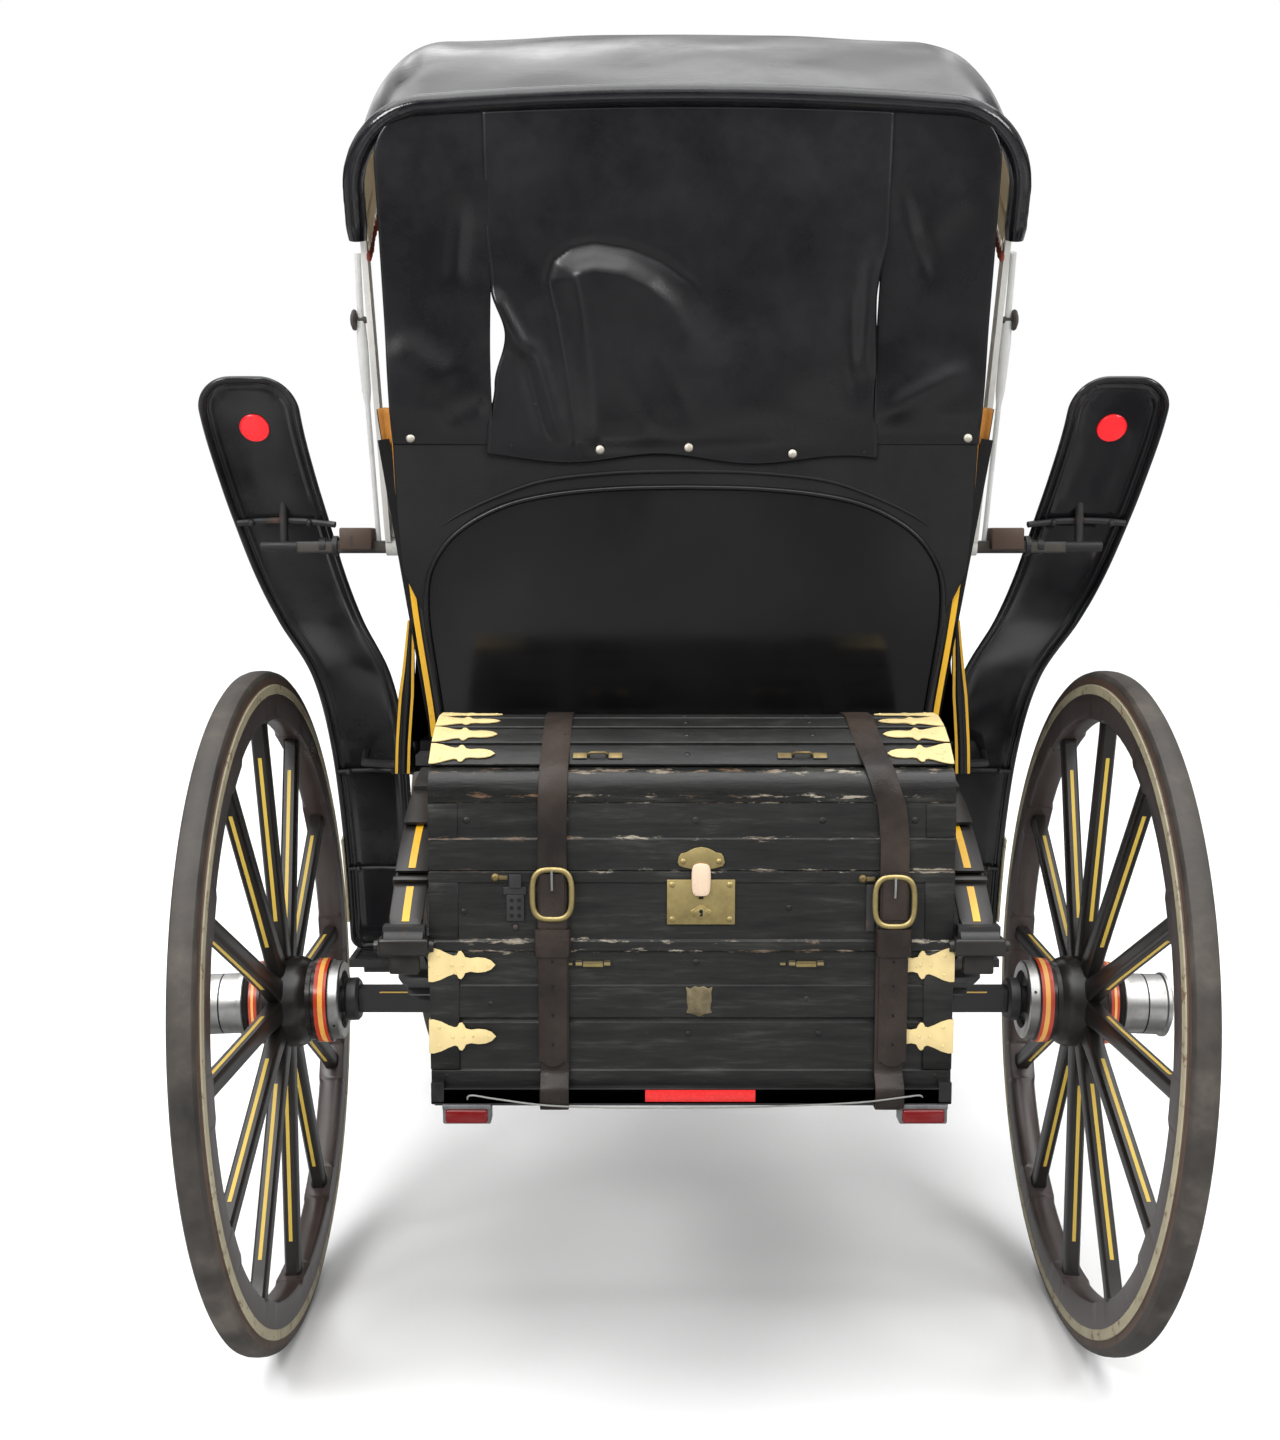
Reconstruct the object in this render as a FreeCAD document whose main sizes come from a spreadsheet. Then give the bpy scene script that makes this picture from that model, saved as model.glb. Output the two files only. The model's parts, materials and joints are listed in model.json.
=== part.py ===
import FreeCAD, Part
import math
import os
import Sketcher

# A four-wheeled hooded phaeton with a dome-topped trunk on its rear rack.
# X is across (+X is the right side), Y runs forward and Z is up, in millimetres. The origin is on
# the floor, in the middle of the whole length. Pieces are drawn from the rear axle's line on the
# floor ("ahead" is the distance in front of it) and moved back by originAhead.

driving = {
    # whole vehicle
    "originAhead": 1539,
    "wheelbase": 1480,
    # wheels: track is from the middle of the vehicle to the middle of the rim, at hub height
    "rearRadius": 533,
    "frontRadius": 430,
    "rearTrack": 655,
    "frontTrack": 570,
    "camber": 2.2,
    "dish": 14,
    "spokeCount": 12,
    "tyreWidth": 38,
    "tyreDepth": 30,
    "felloeWidth": 44,
    "felloeDepth": 48,
    "spokeRoot": 36,
    "spokeTip": 27,
    "spokeThick": 27,
    "naveRadius": 72,
    "naveInside": 97,
    "naveOutside": 59,
    "steelRadius": 62,
    "steelWidth": 17,
    "redRadius": 66,
    "redWidth": 28,
    "bandWall": 3,
    "capRadius": 48,
    "capLength": 78,
    # axles
    "axleBar": 36,
    "spindle": 21,
    "runningFit": 0.05,
    "faceGap": 0.3,
    "collarRadius": 34,
    "collarLength": 22,
    "collarGap": 14,
    # springs
    "springSpan": 410,
    "springInset": 18,
    "springEye": 735,
    "springHead": 924,
    "leafWidth": 44,
    "leafThick": 8,
    "leafCount": 4,
    "eyeRadius": 15,
    "frontSpan": 356,
    "frontFoot": 606,
    "frontEye": 738,
    "frontHead": 880,
    # fore carriage
    "ringRadius": 190,
    "ringWidth": 34,
    "ringThick": 13,
    "bolsterTop": 508,
    "kingBolt": 12,
    "steerBore": 12.05,
    # shafts
    "shaftPivotAhead": 78,
    "shaftAcross": 335,
    "shaftTipAcross": 285,
    "shaftRadius": 23,
    "shaftTipRadius": 13,
    "shaftLength": 2040,
    "pivotPin": 9,
    # body
    "bodyFloor": 744,
    "floorThick": 18,
    "bodyHalf": 403,
    "sideLean": 8,
    "sideThick": 18,
    "sillLevel": 956,
    "sillThick": 16,
    "seatLevel": 1089,
    "seatFront": 480,
    "wellEnd": 880,
    "noseOver": 50,
    "rampLength": 300,
    "noseLevel": 911,
    "backLean": 8.6,
    "backTop": 1476,
    "backThick": 16,
    "dashSetback": 200,
    "dashTop": 1375,
    "dashThick": 8,
    "dashLean": 8,
    "socketRadius": 16,
    "socketDepth": 150,
    # hood
    "pivotAhead": 170,
    "pivotLevel": 1262,
    "bowFootOut": 78.7,
    "bowWidth": 28,
    "bowThick": 9,
    "pivotPinRadius": 9,
    "leatherThick": 5,
    "hoodSkirt": 190,
    "hoodCorner": 120,
    "crownRise": 14,
    "rollRadius": 16,
    "valanceDepth": 62,
    "elbowBack": 136,
    "elbowRise": 350,
    # mudguards
    "guardThick": 4,
    "guardBead": 6,
    "reflectorRadius": 23,
    # steps
    "stepTop": 426,
    "stepAhead": 670,
    "stepLength": 275,
    "stepWidth": 135,
    "stepDepth": 16,
    "stepFrame": 12,
    "stepBars": 13,
    # trunk and rack
    "trunkGap": 34,
    "trunkRear": 410,
    "trunkDepth": 335,
    "trunkWall": 11,
    "trunkSeam": 830,
    "lidShoulder": 921,
    "domeFoot": 965,
    "trunkCrown": 1018,
    "ledgeLevel": 728,
    "grooveLevel": 625,
    "railTop": 535,
    "railDepth": 22,
    "railWidth": 26,
    "strapWidth": 40,
    "strapThick": 3,
    "strapLeft": 186,
    "strapRight": 268,
    "strapEnd": 564,
    "buckleLevel": 797,
    "buckleHalf": 37,
    "fittingLength": 92,
    "fittingHalf": 23,
    "lockTop": 813.5,
}

doc = FreeCAD.newDocument("Carriage")
sheet = doc.addObject("Spreadsheet::Sheet", "Sizes")
for row, (alias, number) in enumerate(driving.items(), start=1):
    sheet.set("A%d" % row, alias)
    sheet.set("B%d" % row, str(number))
    sheet.setAlias("B%d" % row, alias)
doc.recompute()


class Size:
    # A length or angle with the sheet expression that gives it.
    def __init__(self, value, text):
        self.value = float(value)
        self.text = text

    def __add__(self, other):
        other = size(other)
        return Size(self.value + other.value, "(%s + %s)" % (self.text, other.text))

    def __sub__(self, other):
        other = size(other)
        return Size(self.value - other.value, "(%s - %s)" % (self.text, other.text))

    def __mul__(self, other):
        other = size(other)
        return Size(self.value * other.value, "(%s * %s)" % (self.text, other.text))

    def __truediv__(self, other):
        other = size(other)
        return Size(self.value / other.value, "(%s / %s)" % (self.text, other.text))

    def __neg__(self):
        return Size(-self.value, "(-%s)" % self.text)

    def __radd__(self, other):
        return size(other) + self

    def __rsub__(self, other):
        return size(other) - self

    def __rmul__(self, other):
        return size(other) * self

    def __float__(self):
        return self.value


def size(number):
    return number if isinstance(number, Size) else Size(number, "(%s)" % repr(number))


def cell(alias):
    return Size(sheet.get(alias), "Sizes." + alias)


def bind(thing, path, amount):
    thing.setExpression(path, size(amount).text)


def vector(x, y, z):
    return FreeCAD.Vector(float(x), float(y), float(z))


sizes = {alias: cell(alias) for alias in driving}


class Sheet:
    pass


s = Sheet()
for alias, amount in sizes.items():
    setattr(s, alias, amount)

front = s.wheelbase
noseAhead = front + s.noseOver
dashAhead = noseAhead - s.dashSetback
springAcross = s.bodyHalf - s.springInset
trunkHalf = springAcross - s.trunkGap
ahead = -s.originAhead


def place(piece, x=0, y=0, z=0, axis=None, angle=0):
    # y is the distance ahead of the rear axle
    turn = FreeCAD.Rotation(axis, float(size(angle))) if axis else FreeCAD.Rotation()
    piece.Placement = FreeCAD.Placement(vector(x, y + ahead, z), turn)
    bind(piece, "Placement.Base.x", x)
    bind(piece, "Placement.Base.y", y + ahead)
    bind(piece, "Placement.Base.z", z)
    if axis:
        bind(piece, "Placement.Rotation.Angle", angle)
    return piece


def newBody(label):
    piece = doc.addObject("PartDesign::Body", label)
    piece.Label = label
    return piece


def origin(piece, role):
    return next(part for part in piece.Origin.OriginFeatures if part.Role == role)


def arcMiddle(start, end, radius):
    # Radius above 0 turns left on the way from start to end, below 0 it turns right.
    chord = end - start
    half = chord.Length / 2
    rise = abs(radius) - math.sqrt(max(radius * radius - half * half, 0))
    across = FreeCAD.Vector(chord.y, -chord.x, 0).normalize()
    return (start + end) / 2 + across * math.copysign(rise, radius)


def addSketch(owner, name, role, outline, offset=0):
    # outline: corners as (x, y), or (x, y, radius) where an arc leads to the corner
    sketch = owner.newObject("Sketcher::SketchObject", name)
    sketch.AttachmentSupport = (origin(owner, role), "")
    sketch.MapMode = "FlatFace"
    bind(sketch, "AttachmentOffset.Base.z", offset)
    corners = [tuple(size(part) for part in corner) for corner in outline]
    count = len(corners)
    for index in range(count):
        here = corners[index]
        there = corners[(index + 1) % count]
        start = vector(here[0], here[1], 0)
        end = vector(there[0], there[1], 0)
        if len(there) > 2:
            middle = arcMiddle(start, end, float(there[2]))
            sketch.addGeometry(Part.Arc(start, middle, end), False)
        else:
            sketch.addGeometry(Part.LineSegment(start, end), False)
    starts = []
    for index in range(count):
        there = corners[(index + 1) % count]
        turnsRight = len(there) > 2 and float(there[2]) < 0
        starts.append((2, 1) if turnsRight else (1, 2))
    for index in range(count):
        follower = (index + 1) % count
        meet = Sketcher.Constraint("Coincident", index, starts[index][1], follower, starts[follower][0])
        sketch.addConstraint(meet)
    for index, corner in enumerate(corners):
        for letter, kind, amount in (("x", "DistanceX", corner[0]), ("y", "DistanceY", corner[1])):
            rule = Sketcher.Constraint(kind, -1, 1, index, starts[index][0], float(amount))
            sketch.renameConstraint(sketch.addConstraint(rule), "%s%d" % (letter, index))
            bind(sketch, "Constraints.%s%d" % (letter, index), amount)
    for index in range(count):
        there = corners[(index + 1) % count]
        if len(there) > 2:
            rule = Sketcher.Constraint("Radius", index, abs(float(there[2])))
            sketch.renameConstraint(sketch.addConstraint(rule), "r%d" % index)
            radius = there[2] if float(there[2]) > 0 else -there[2]
            bind(sketch, "Constraints.r%d" % index, radius)
    return sketch


def pad(piece, name, role, outline, start, length):
    # On XY the pad grows up, on YZ it grows to the right and on XZ it grows backward.
    feature = piece.newObject("PartDesign::Pad", name)
    feature.Profile = addSketch(piece, name + "Sketch", role, outline, start)
    bind(feature, "Length", length)
    return feature


def pocket(piece, name, role, outline, start, length):
    # Cuts against the pad's direction, so start is the far side of the cut.
    feature = piece.newObject("PartDesign::Pocket", name)
    feature.Profile = addSketch(piece, name + "Sketch", role, outline, start)
    bind(feature, "Length", length)
    return feature


def revolve(piece, name, outline, role="XY_Plane", axis="H_Axis"):
    # turned about X, or about Z from an outline on XZ with the axis V_Axis
    feature = piece.newObject("PartDesign::Revolution", name)
    sketch = addSketch(piece, name + "Sketch", role, outline)
    feature.Profile = sketch
    feature.ReferenceAxis = (sketch, [axis])
    feature.Angle = 360
    return feature


def disc(piece, name, kind, role, radius, centre, start, length):
    # a round Pad or Pocket
    sketch = piece.newObject("Sketcher::SketchObject", name + "Sketch")
    sketch.AttachmentSupport = (origin(piece, role), "")
    sketch.MapMode = "FlatFace"
    bind(sketch, "AttachmentOffset.Base.z", start)
    middle = vector(size(centre[0]), size(centre[1]), 0)
    sketch.addGeometry(Part.Circle(middle, FreeCAD.Vector(0, 0, 1), float(size(radius))), False)
    rules = (("across", "DistanceX", centre[0]), ("up", "DistanceY", centre[1]))
    for word, rule, amount in rules:
        index = sketch.addConstraint(Sketcher.Constraint(rule, -1, 1, 0, 3, float(size(amount))))
        sketch.renameConstraint(index, word)
        bind(sketch, "Constraints." + word, amount)
    index = sketch.addConstraint(Sketcher.Constraint("Radius", 0, float(size(radius))))
    sketch.renameConstraint(index, "round")
    bind(sketch, "Constraints.round", radius)
    feature = piece.newObject("PartDesign::" + kind, name)
    feature.Profile = sketch
    bind(feature, "Length", length)
    return feature


def box(label, low, high):
    # low and high corners, with y ahead of the rear axle
    piece = doc.addObject("Part::Box", label)
    piece.Label = label
    for path, start, end in zip(("Length", "Width", "Height"), low, high):
        bind(piece, path, size(end) - size(start))
    return place(piece, *low)


def rod(label, radius, start, length, axis):
    # a cylinder from start along +X, +Y or +Z
    piece = doc.addObject("Part::Cylinder", label)
    piece.Label = label
    bind(piece, "Radius", radius)
    bind(piece, "Height", length)
    turns = {"x": (vector(0, 1, 0), 90), "y": (vector(1, 0, 0), -90), "z": (vector(0, 0, 1), 0)}
    spin, angle = turns[axis]
    return place(piece, *start, axis=spin, angle=angle)


def mirror(label, source):
    piece = doc.addObject("Part::Mirroring", label)
    piece.Label = label
    piece.Source = source
    piece.Base = vector(0, 0, 0)
    piece.Normal = vector(1, 0, 0)
    return piece


def group(label, pieces):
    piece = doc.addObject("Part::Compound", label)
    piece.Label = label
    piece.Links = pieces
    return piece


def fuse(label, pieces):
    piece = doc.addObject("Part::MultiFuse", label)
    piece.Label = label
    piece.Shapes = pieces
    return piece


def cut(label, base, tool):
    piece = doc.addObject("Part::Cut", label)
    piece.Label = label
    piece.Base = base
    piece.Tool = tool
    return piece


def bothSides(label, pieces):
    # the given right-hand pieces and their mirror images, as one sub-part
    images = [mirror(piece.Label + "Image", piece) for piece in pieces]
    return group(label, pieces + images)


def shaped(label, shape):
    # a shape drawn in rear-axle coordinates from the sheet's numbers
    piece = doc.addObject("Part::Feature", label)
    piece.Label = label
    piece.Shape = Part.makeCompound(shape.Solids)
    return place(piece)


def rectangle(low, high):
    return [(low[0], low[1]), (high[0], low[1]), (high[0], high[1]), (low[0], high[1])]


nodes = []


def keep(piece):
    nodes.append(piece)
    return piece


# ---- wheels

def wheel(end, radius, track, axle):
    # The right wheel, drawn about its hub with the axle along X and +X outward, then its mirror
    # image. Dish sets the rim outward of the hub and camber leans the wheel's top outward.
    bore = s.spindle + s.runningFit
    felloeOut = radius - s.tyreDepth
    felloeIn = felloeOut - s.felloeDepth
    inner = -s.naveInside
    outer = s.naveOutside
    steelEnd = inner + s.steelWidth
    redEnd = steelEnd + s.redWidth
    chamfer = 7
    upright = vector(0, 1, 0)
    hub = {"x": track - s.dish, "y": axle, "z": radius, "axis": upright, "angle": s.camber}

    wood = newBody("wheel_%s_right" % end)
    revolve(wood, end + "Nave", [
        (inner + s.bandWall, bore), (outer, bore), (outer, s.capRadius + 2), (outer - 20, s.steelRadius),
        (outer - 34, s.naveRadius), (redEnd + 22, s.naveRadius), (redEnd + 8, s.steelRadius),
        (redEnd, s.steelRadius), (redEnd, s.redRadius), (steelEnd, s.redRadius),
        (steelEnd, s.steelRadius - s.bandWall), (inner + s.bandWall, s.steelRadius - s.bandWall)])
    spoke = wood.newObject("PartDesign::AdditiveLoft", end + "Spoke")
    half = s.spokeThick / 2
    ends = []
    stations = (
        # name, depth in the wheel's plane, distance from the hub, offset outward
        ("Root", s.spokeRoot, s.naveRadius - 8, size(0)),
        ("Tip", s.spokeTip, felloeIn + 6, s.dish),
    )
    for name, deep, reach, offset in stations:
        edge = deep / 2
        shoulder = edge - chamfer
        outline = [
            (offset - half, -shoulder), (offset + chamfer - half, -edge), (offset + half - chamfer, -edge),
            (offset + half, -shoulder), (offset + half, shoulder), (offset + half - chamfer, edge),
            (offset + chamfer - half, edge), (offset - half, shoulder)]
        ends.append(addSketch(wood, end + "Spoke" + name, "XZ_Plane", outline, reach))
    spoke.Profile = ends[0]
    spoke.Sections = [ends[1]]
    doc.recompute()
    pattern = wood.newObject("PartDesign::PolarPattern", end + "Spokes")
    pattern.Originals = [spoke]
    pattern.Axis = (origin(wood, "X_Axis"), [""])
    pattern.Angle = 360
    bind(pattern, "Occurrences", s.spokeCount)
    wood.Tip = pattern
    doc.recompute()
    rimIn = s.dish - s.felloeWidth / 2
    rimOut = s.dish + s.felloeWidth / 2
    revolve(wood, end + "Felloes", [
        (rimIn, felloeIn + chamfer), (rimIn + chamfer, felloeIn), (rimOut - chamfer, felloeIn),
        (rimOut, felloeIn + chamfer), (rimOut, felloeOut), (rimIn, felloeOut)])
    place(wood, **hub)
    keep(wood)
    keep(mirror("wheel_%s_left" % end, wood))

    tyre = newBody("tyre_%s_right" % end)
    wallIn = s.dish - s.tyreWidth / 2
    wallOut = s.dish + s.tyreWidth / 2
    shoulder = 9
    revolve(tyre, end + "Tyre", [
        (wallIn, felloeOut), (wallOut, felloeOut), (wallOut, radius - shoulder), (wallOut - shoulder, radius),
        (wallIn + shoulder, radius), (wallIn, radius - shoulder)])
    place(tyre, **hub)
    keep(tyre)
    keep(mirror("tyre_%s_left" % end, tyre))

    band = newBody(end + "Band")
    lip = s.spindle + s.collarGap
    revolve(band, end + "BandRing", [
        (inner, lip), (inner, s.steelRadius), (steelEnd, s.steelRadius),
        (steelEnd, s.steelRadius - s.bandWall), (inner + s.bandWall, s.steelRadius - s.bandWall),
        (inner + s.bandWall, lip)])
    place(band, **hub)
    cap = newBody(end + "Cap")
    tip = outer + s.capLength
    flange = s.capRadius + 4
    bead = s.capRadius + 3
    revolve(cap, end + "CapShell", [
        (outer, s.spindle + 8), (outer, flange), (outer + 7, flange), (outer + 7, s.capRadius),
        (tip - 12, s.capRadius), (tip - 12, bead), (tip - 5, bead), (tip, s.capRadius - 8), (tip, 0),
        (tip - 6, 0), (tip - 6, s.spindle + 8)])
    place(cap, **hub)
    metal = keep(group("hub_metal_%s_right" % end, [band, cap]))
    keep(mirror("hub_metal_%s_left" % end, metal))


wheel("rear", s.rearRadius, s.rearTrack, size(0))
wheel("front", s.frontRadius, s.frontTrack, front)

# ---- axles

def axle(label, radius, track, along, low):
    # A square bar between canted arms, each turned with its collar in one piece.
    arm = newBody(label + "Arm")
    collarOut = -s.naveInside + s.bandWall - s.collarGap / 2
    collarIn = collarOut - s.collarLength
    armEnd = s.naveOutside + 30
    revolve(arm, label + "Turned", [
        (collarIn, 0), (collarIn, s.collarRadius - 4), (collarIn + 4, s.collarRadius),
        (collarOut - 4, s.collarRadius), (collarOut, s.collarRadius - 4), (collarOut, s.spindle),
        (armEnd, s.spindle), (armEnd, 0)])
    place(arm, x=track - s.dish, y=along, z=radius, axis=vector(0, 1, 0), angle=s.camber)
    reach = track - s.dish + collarIn + 4
    depth = s.axleBar / 2
    bar = box(label + "Bar", (-reach, along - depth, low), (reach, along + depth, low + s.axleBar))
    return fuse(label, [bar, arm, mirror(label + "ArmImage", arm)])


rearBarLow = s.rearRadius - s.axleBar / 2 + 5
keep(axle("rear_axle", s.rearRadius, s.rearTrack, size(0), rearBarLow))
rearBarTop = rearBarLow + s.axleBar

frontBarLow = s.frontRadius - s.axleBar / 2 + 5
frontSolid = axle("FrontAxleSolid", s.frontRadius, s.frontTrack, front, frontBarLow)
frontBore = rod("FrontAxleBore", s.steerBore, (0, front, frontBarLow - 5), s.axleBar + 10, "z")
keep(cut("front_axle", frontSolid, frontBore))
frontBarTop = frontBarLow + s.axleBar

# ---- springs

def leaf(reach, radius, centre, side, thick):
    # one curved leaf in the plane of distance from the middle and level; side is 1 when it arches up
    angle = math.asin(reach / (radius + thick / 2))
    rim = []
    for r, a in ((radius, -angle), (radius, 0), (radius, angle), (radius + thick, angle),
                 (radius + thick, 0), (radius + thick, -angle)):
        rim.append(FreeCAD.Vector(0, r * math.sin(a), centre + side * r * math.cos(a)))
    return Part.Face(Part.Wire([
        Part.Arc(rim[0], rim[1], rim[2]).toShape(), Part.LineSegment(rim[2], rim[3]).toShape(),
        Part.Arc(rim[3], rim[4], rim[5]).toShape(), Part.LineSegment(rim[5], rim[0]).toShape()]))


def springSolid(span, eye, low, high):
    # An elliptic spring along Y: two arched packs of leaves that shorten away from the main leaf,
    # rolled eyes, and a clamp round each eye. Low and high are the main leaves' middles.
    width = float(s.leafWidth)
    thick = float(s.leafThick)
    span = float(span)
    eye = float(eye)
    solids = []
    for side, crown in ((1, float(high)), (-1, float(low))):
        rise = abs(crown - eye)
        radius = (span ** 2 + rise ** 2) / (2 * rise)
        centre = crown - side * radius
        for index in range(int(float(s.leafCount))):
            reach = span * (1 - 0.21 * index)
            face = leaf(reach, radius + index * thick, centre, side, thick)
            solids.append(face.extrude(FreeCAD.Vector(width, 0, 0)))
    clampWidth = width + 12
    clampHigh = 2 * float(s.eyeRadius) + 10
    for end in (-1, 1):
        start = vector(-4, end * span, eye)
        barrel = Part.makeCylinder(float(s.eyeRadius), width + 8, start, vector(1, 0, 0))
        inside = min(end * (span - 14), end * (span + 6))
        corner = vector(-6, inside, eye - clampHigh / 2)
        solids += [barrel, Part.makeBox(clampWidth, 20, clampHigh, corner)]
    whole = solids[0].multiFuse(solids[1:]).removeSplitter()
    whole.translate(vector(-width / 2, 0, 0))
    return whole


leafPack = s.leafThick * s.leafCount
seatPad = 6
rearSpring = springSolid(s.springSpan, s.springEye, rearBarTop + leafPack + seatPad, s.springHead - leafPack)
rearPair = []
for across in (float(springAcross), -float(springAcross)):
    copy = rearSpring.copy()
    copy.translate(vector(across, 0, 0))
    rearPair.append(copy)
keep(shaped("rear_springs", Part.makeCompound(rearPair)))

crossSpring = springSolid(s.frontSpan, s.frontEye, s.frontFoot + leafPack, s.frontHead - leafPack)
crossSpring.rotate(FreeCAD.Vector(0, 0, 0), FreeCAD.Vector(0, 0, 1), 90)
crossSpring.translate(vector(0, front, 0))
keep(shaped("front_spring", crossSpring))

# pads on the axle bed, blocks up to the body's sills and a block under its nose
seatHalf = s.leafWidth / 2 + 9
padIn = springAcross - seatHalf
padOut = springAcross + seatHalf
sillUnder = s.sillLevel - s.sillThick
lowerPad = box("AxleSeat", (padIn, -45, rearBarTop), (padOut, 45, rearBarTop + seatPad))
upperPad = box("SillSeat", (padIn, -60, s.springHead), (padOut, 60, sillUnder))
nosePad = box("NoseSeat", (-45, front - seatHalf, s.frontHead), (45, front + seatHalf, s.noseLevel))
seatImages = [mirror(piece.Label + "Image", piece) for piece in (lowerPad, upperPad)]
keep(group("spring_seats", [lowerPad, upperPad, nosePad] + seatImages))

# ---- fore carriage

ringOut = s.ringRadius + s.ringWidth / 2
ringIn = s.ringRadius - s.ringWidth / 2
barHalf = 26


def turntable(label, low):
    # a flat ring with a bar across it
    outside = rod(label + "Disc", ringOut, (0, front, low), s.ringThick, "z")
    inside = rod(label + "Hole", ringIn, (0, front, low - 5), s.ringThick + 10, "z")
    hoop = cut(label + "Hoop", outside, inside)
    bar = box(label + "Bar", (-ringIn - 5, front - barHalf, low),
              (ringIn + 5, front + barHalf, low + s.ringThick))
    return fuse(label, [hoop, bar])


bolsterHalf = s.frontTrack - s.naveInside - 100
bolsterBox = box("BolsterBox", (-bolsterHalf, front - 30, frontBarTop),
                 (bolsterHalf, front + 30, s.bolsterTop))
bolsterBore = rod("BolsterBore", s.steerBore, (0, front, frontBarTop - 5),
                  s.bolsterTop - frontBarTop + 10, "z")
keep(cut("bolster", bolsterBox, bolsterBore))
lowerTable = turntable("LowerTable", s.bolsterTop)
lowerBore = rod("LowerTableBore", s.steerBore, (0, front, s.bolsterTop - 5), s.ringThick + 10, "z")
keep(cut("fifth_wheel_lower", lowerTable, lowerBore))
ringMeet = s.bolsterTop + s.ringThick + s.faceGap
keep(turntable("fifth_wheel_upper", ringMeet))
blockLow = ringMeet + s.ringThick
keep(box("head_block", (-ringOut - 30, front - 32, blockLow), (ringOut + 30, front + 32, s.frontFoot)))
boltBelow = frontBarLow - 30
boltShank = rod("KingShank", s.kingBolt, (0, front, boltBelow), ringMeet - boltBelow, "z")
boltNut = rod("KingNut", s.kingBolt + 9, (0, front, boltBelow), 16, "z")
keep(fuse("king_bolt", [boltShank, boltNut]))

# ---- shafts

pivotAhead = front + s.shaftPivotAhead
pivotLevel = s.frontRadius
shaftTable = [
    # ahead of the pivot, height over the pivot, radius of the pole
    (0, 0, s.shaftRadius),
    (330, -42, s.shaftRadius),
    (700, 6, s.shaftRadius),
    (1290, -106, s.shaftRadius - 3),
    (1900, -335, s.shaftTipRadius + 2),
    (2040, -417, s.shaftTipRadius),
]


def pole(stations, sides=10):
    # A pole through the stations (point, radius): straight tapers between mitred sections.
    points = [station[0] for station in stations]
    wires = []
    for index, (point, radius) in enumerate(stations):
        before = (point - points[max(index - 1, 0)])
        after = (points[min(index + 1, len(points) - 1)] - point)
        runs = [run.normalize() for run in (before, after) if run.Length > 1e-6]
        along = (runs[0] + runs[-1]).normalize()
        across = along.cross(FreeCAD.Vector(0, 0, 1) if abs(along.z) < 0.9 else FreeCAD.Vector(1, 0, 0))
        across = across.normalize()
        up = across.cross(along)
        bend = math.acos(max(min(runs[0].dot(runs[-1]), 1), -1)) / 2
        stretch = 1 / math.cos(bend)
        turnIn = (runs[-1] - runs[0])
        lean = turnIn.normalize() if turnIn.Length > 1e-6 else up
        side = lean.cross(along)
        corners = []
        for step in range(sides):
            angle = 2 * math.pi * (step + 0.5) / sides
            round_ = across * math.cos(angle) + up * math.sin(angle)
            offset = lean * (round_.dot(lean) * stretch) + side * round_.dot(side)
            corners.append(point + offset * float(radius))
        wires.append(Part.makePolygon(corners + corners[:1]))
    return Part.makeLoft(wires, True, True)


shaftLean = math.degrees(math.atan2(float(s.shaftAcross - s.shaftTipAcross), float(s.shaftLength)))
stretch = float(s.shaftLength) / shaftTable[-1][0]
rightShaft = pole([(FreeCAD.Vector(0, along * stretch, up), radius) for along, up, radius in shaftTable])
eyeBoss = Part.makeCylinder(float(s.shaftRadius) + 3, 46, vector(-23, 0, 0), vector(1, 0, 0))
eyeBore = Part.makeCylinder(float(s.pivotPin + s.runningFit), 60, vector(-30, 0, 0), vector(1, 0, 0))
rightShaft.rotate(FreeCAD.Vector(0, 0, 0), FreeCAD.Vector(0, 0, 1), shaftLean)
rightShaft = rightShaft.fuse(eyeBoss).cut(eyeBore)
rightShaft.translate(vector(s.shaftAcross, pivotAhead, pivotLevel))
leftShaft = rightShaft.mirror(FreeCAD.Vector(0, 0, 0), FreeCAD.Vector(1, 0, 0))
keep(shaped("shaft_right", rightShaft))
keep(shaped("shaft_left", leftShaft))

# the bar that joins the shafts, let in between them
barAhead = shaftTable[1][0] * stretch
barHigh = 40
barBox = Part.makeBox(2 * float(s.shaftAcross), 46, barHigh,
                      vector(-s.shaftAcross, pivotAhead + barAhead - 23, pivotLevel - 62))
between = barBox.cut(rightShaft).cut(leftShaft)
crossBar = sorted(between.Solids, key=lambda solid: -solid.Volume)[0]
keep(shaped("splinter_bar", crossBar))

# couplings: two ears on the axle bed each side, with the pin through them
earGap = 26
earThick = 10
couplings = []
for middle in (float(s.shaftAcross), -float(s.shaftAcross)):
    ears = []
    for offset in (-earGap - earThick, earGap):
        corner = vector(middle + offset, front + s.axleBar / 2, pivotLevel - 13)
        ears.append(Part.makeBox(earThick, float(s.shaftPivotAhead - s.axleBar / 2) + 12, 30, corner))
        eyeStart = vector(middle + offset, pivotAhead, pivotLevel)
        ears.append(Part.makeCylinder(24, earThick, eyeStart, vector(1, 0, 0)))
    pinLength = 2 * (earGap + earThick) + 12
    pin = Part.makeCylinder(float(s.pivotPin), pinLength,
                            vector(middle - pinLength / 2, pivotAhead, pivotLevel), vector(1, 0, 0))
    couplings.append(ears[0].multiFuse(ears[1:] + [pin]))
keep(shaped("shaft_couplings", Part.makeCompound(couplings)))

# ---- body

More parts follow.
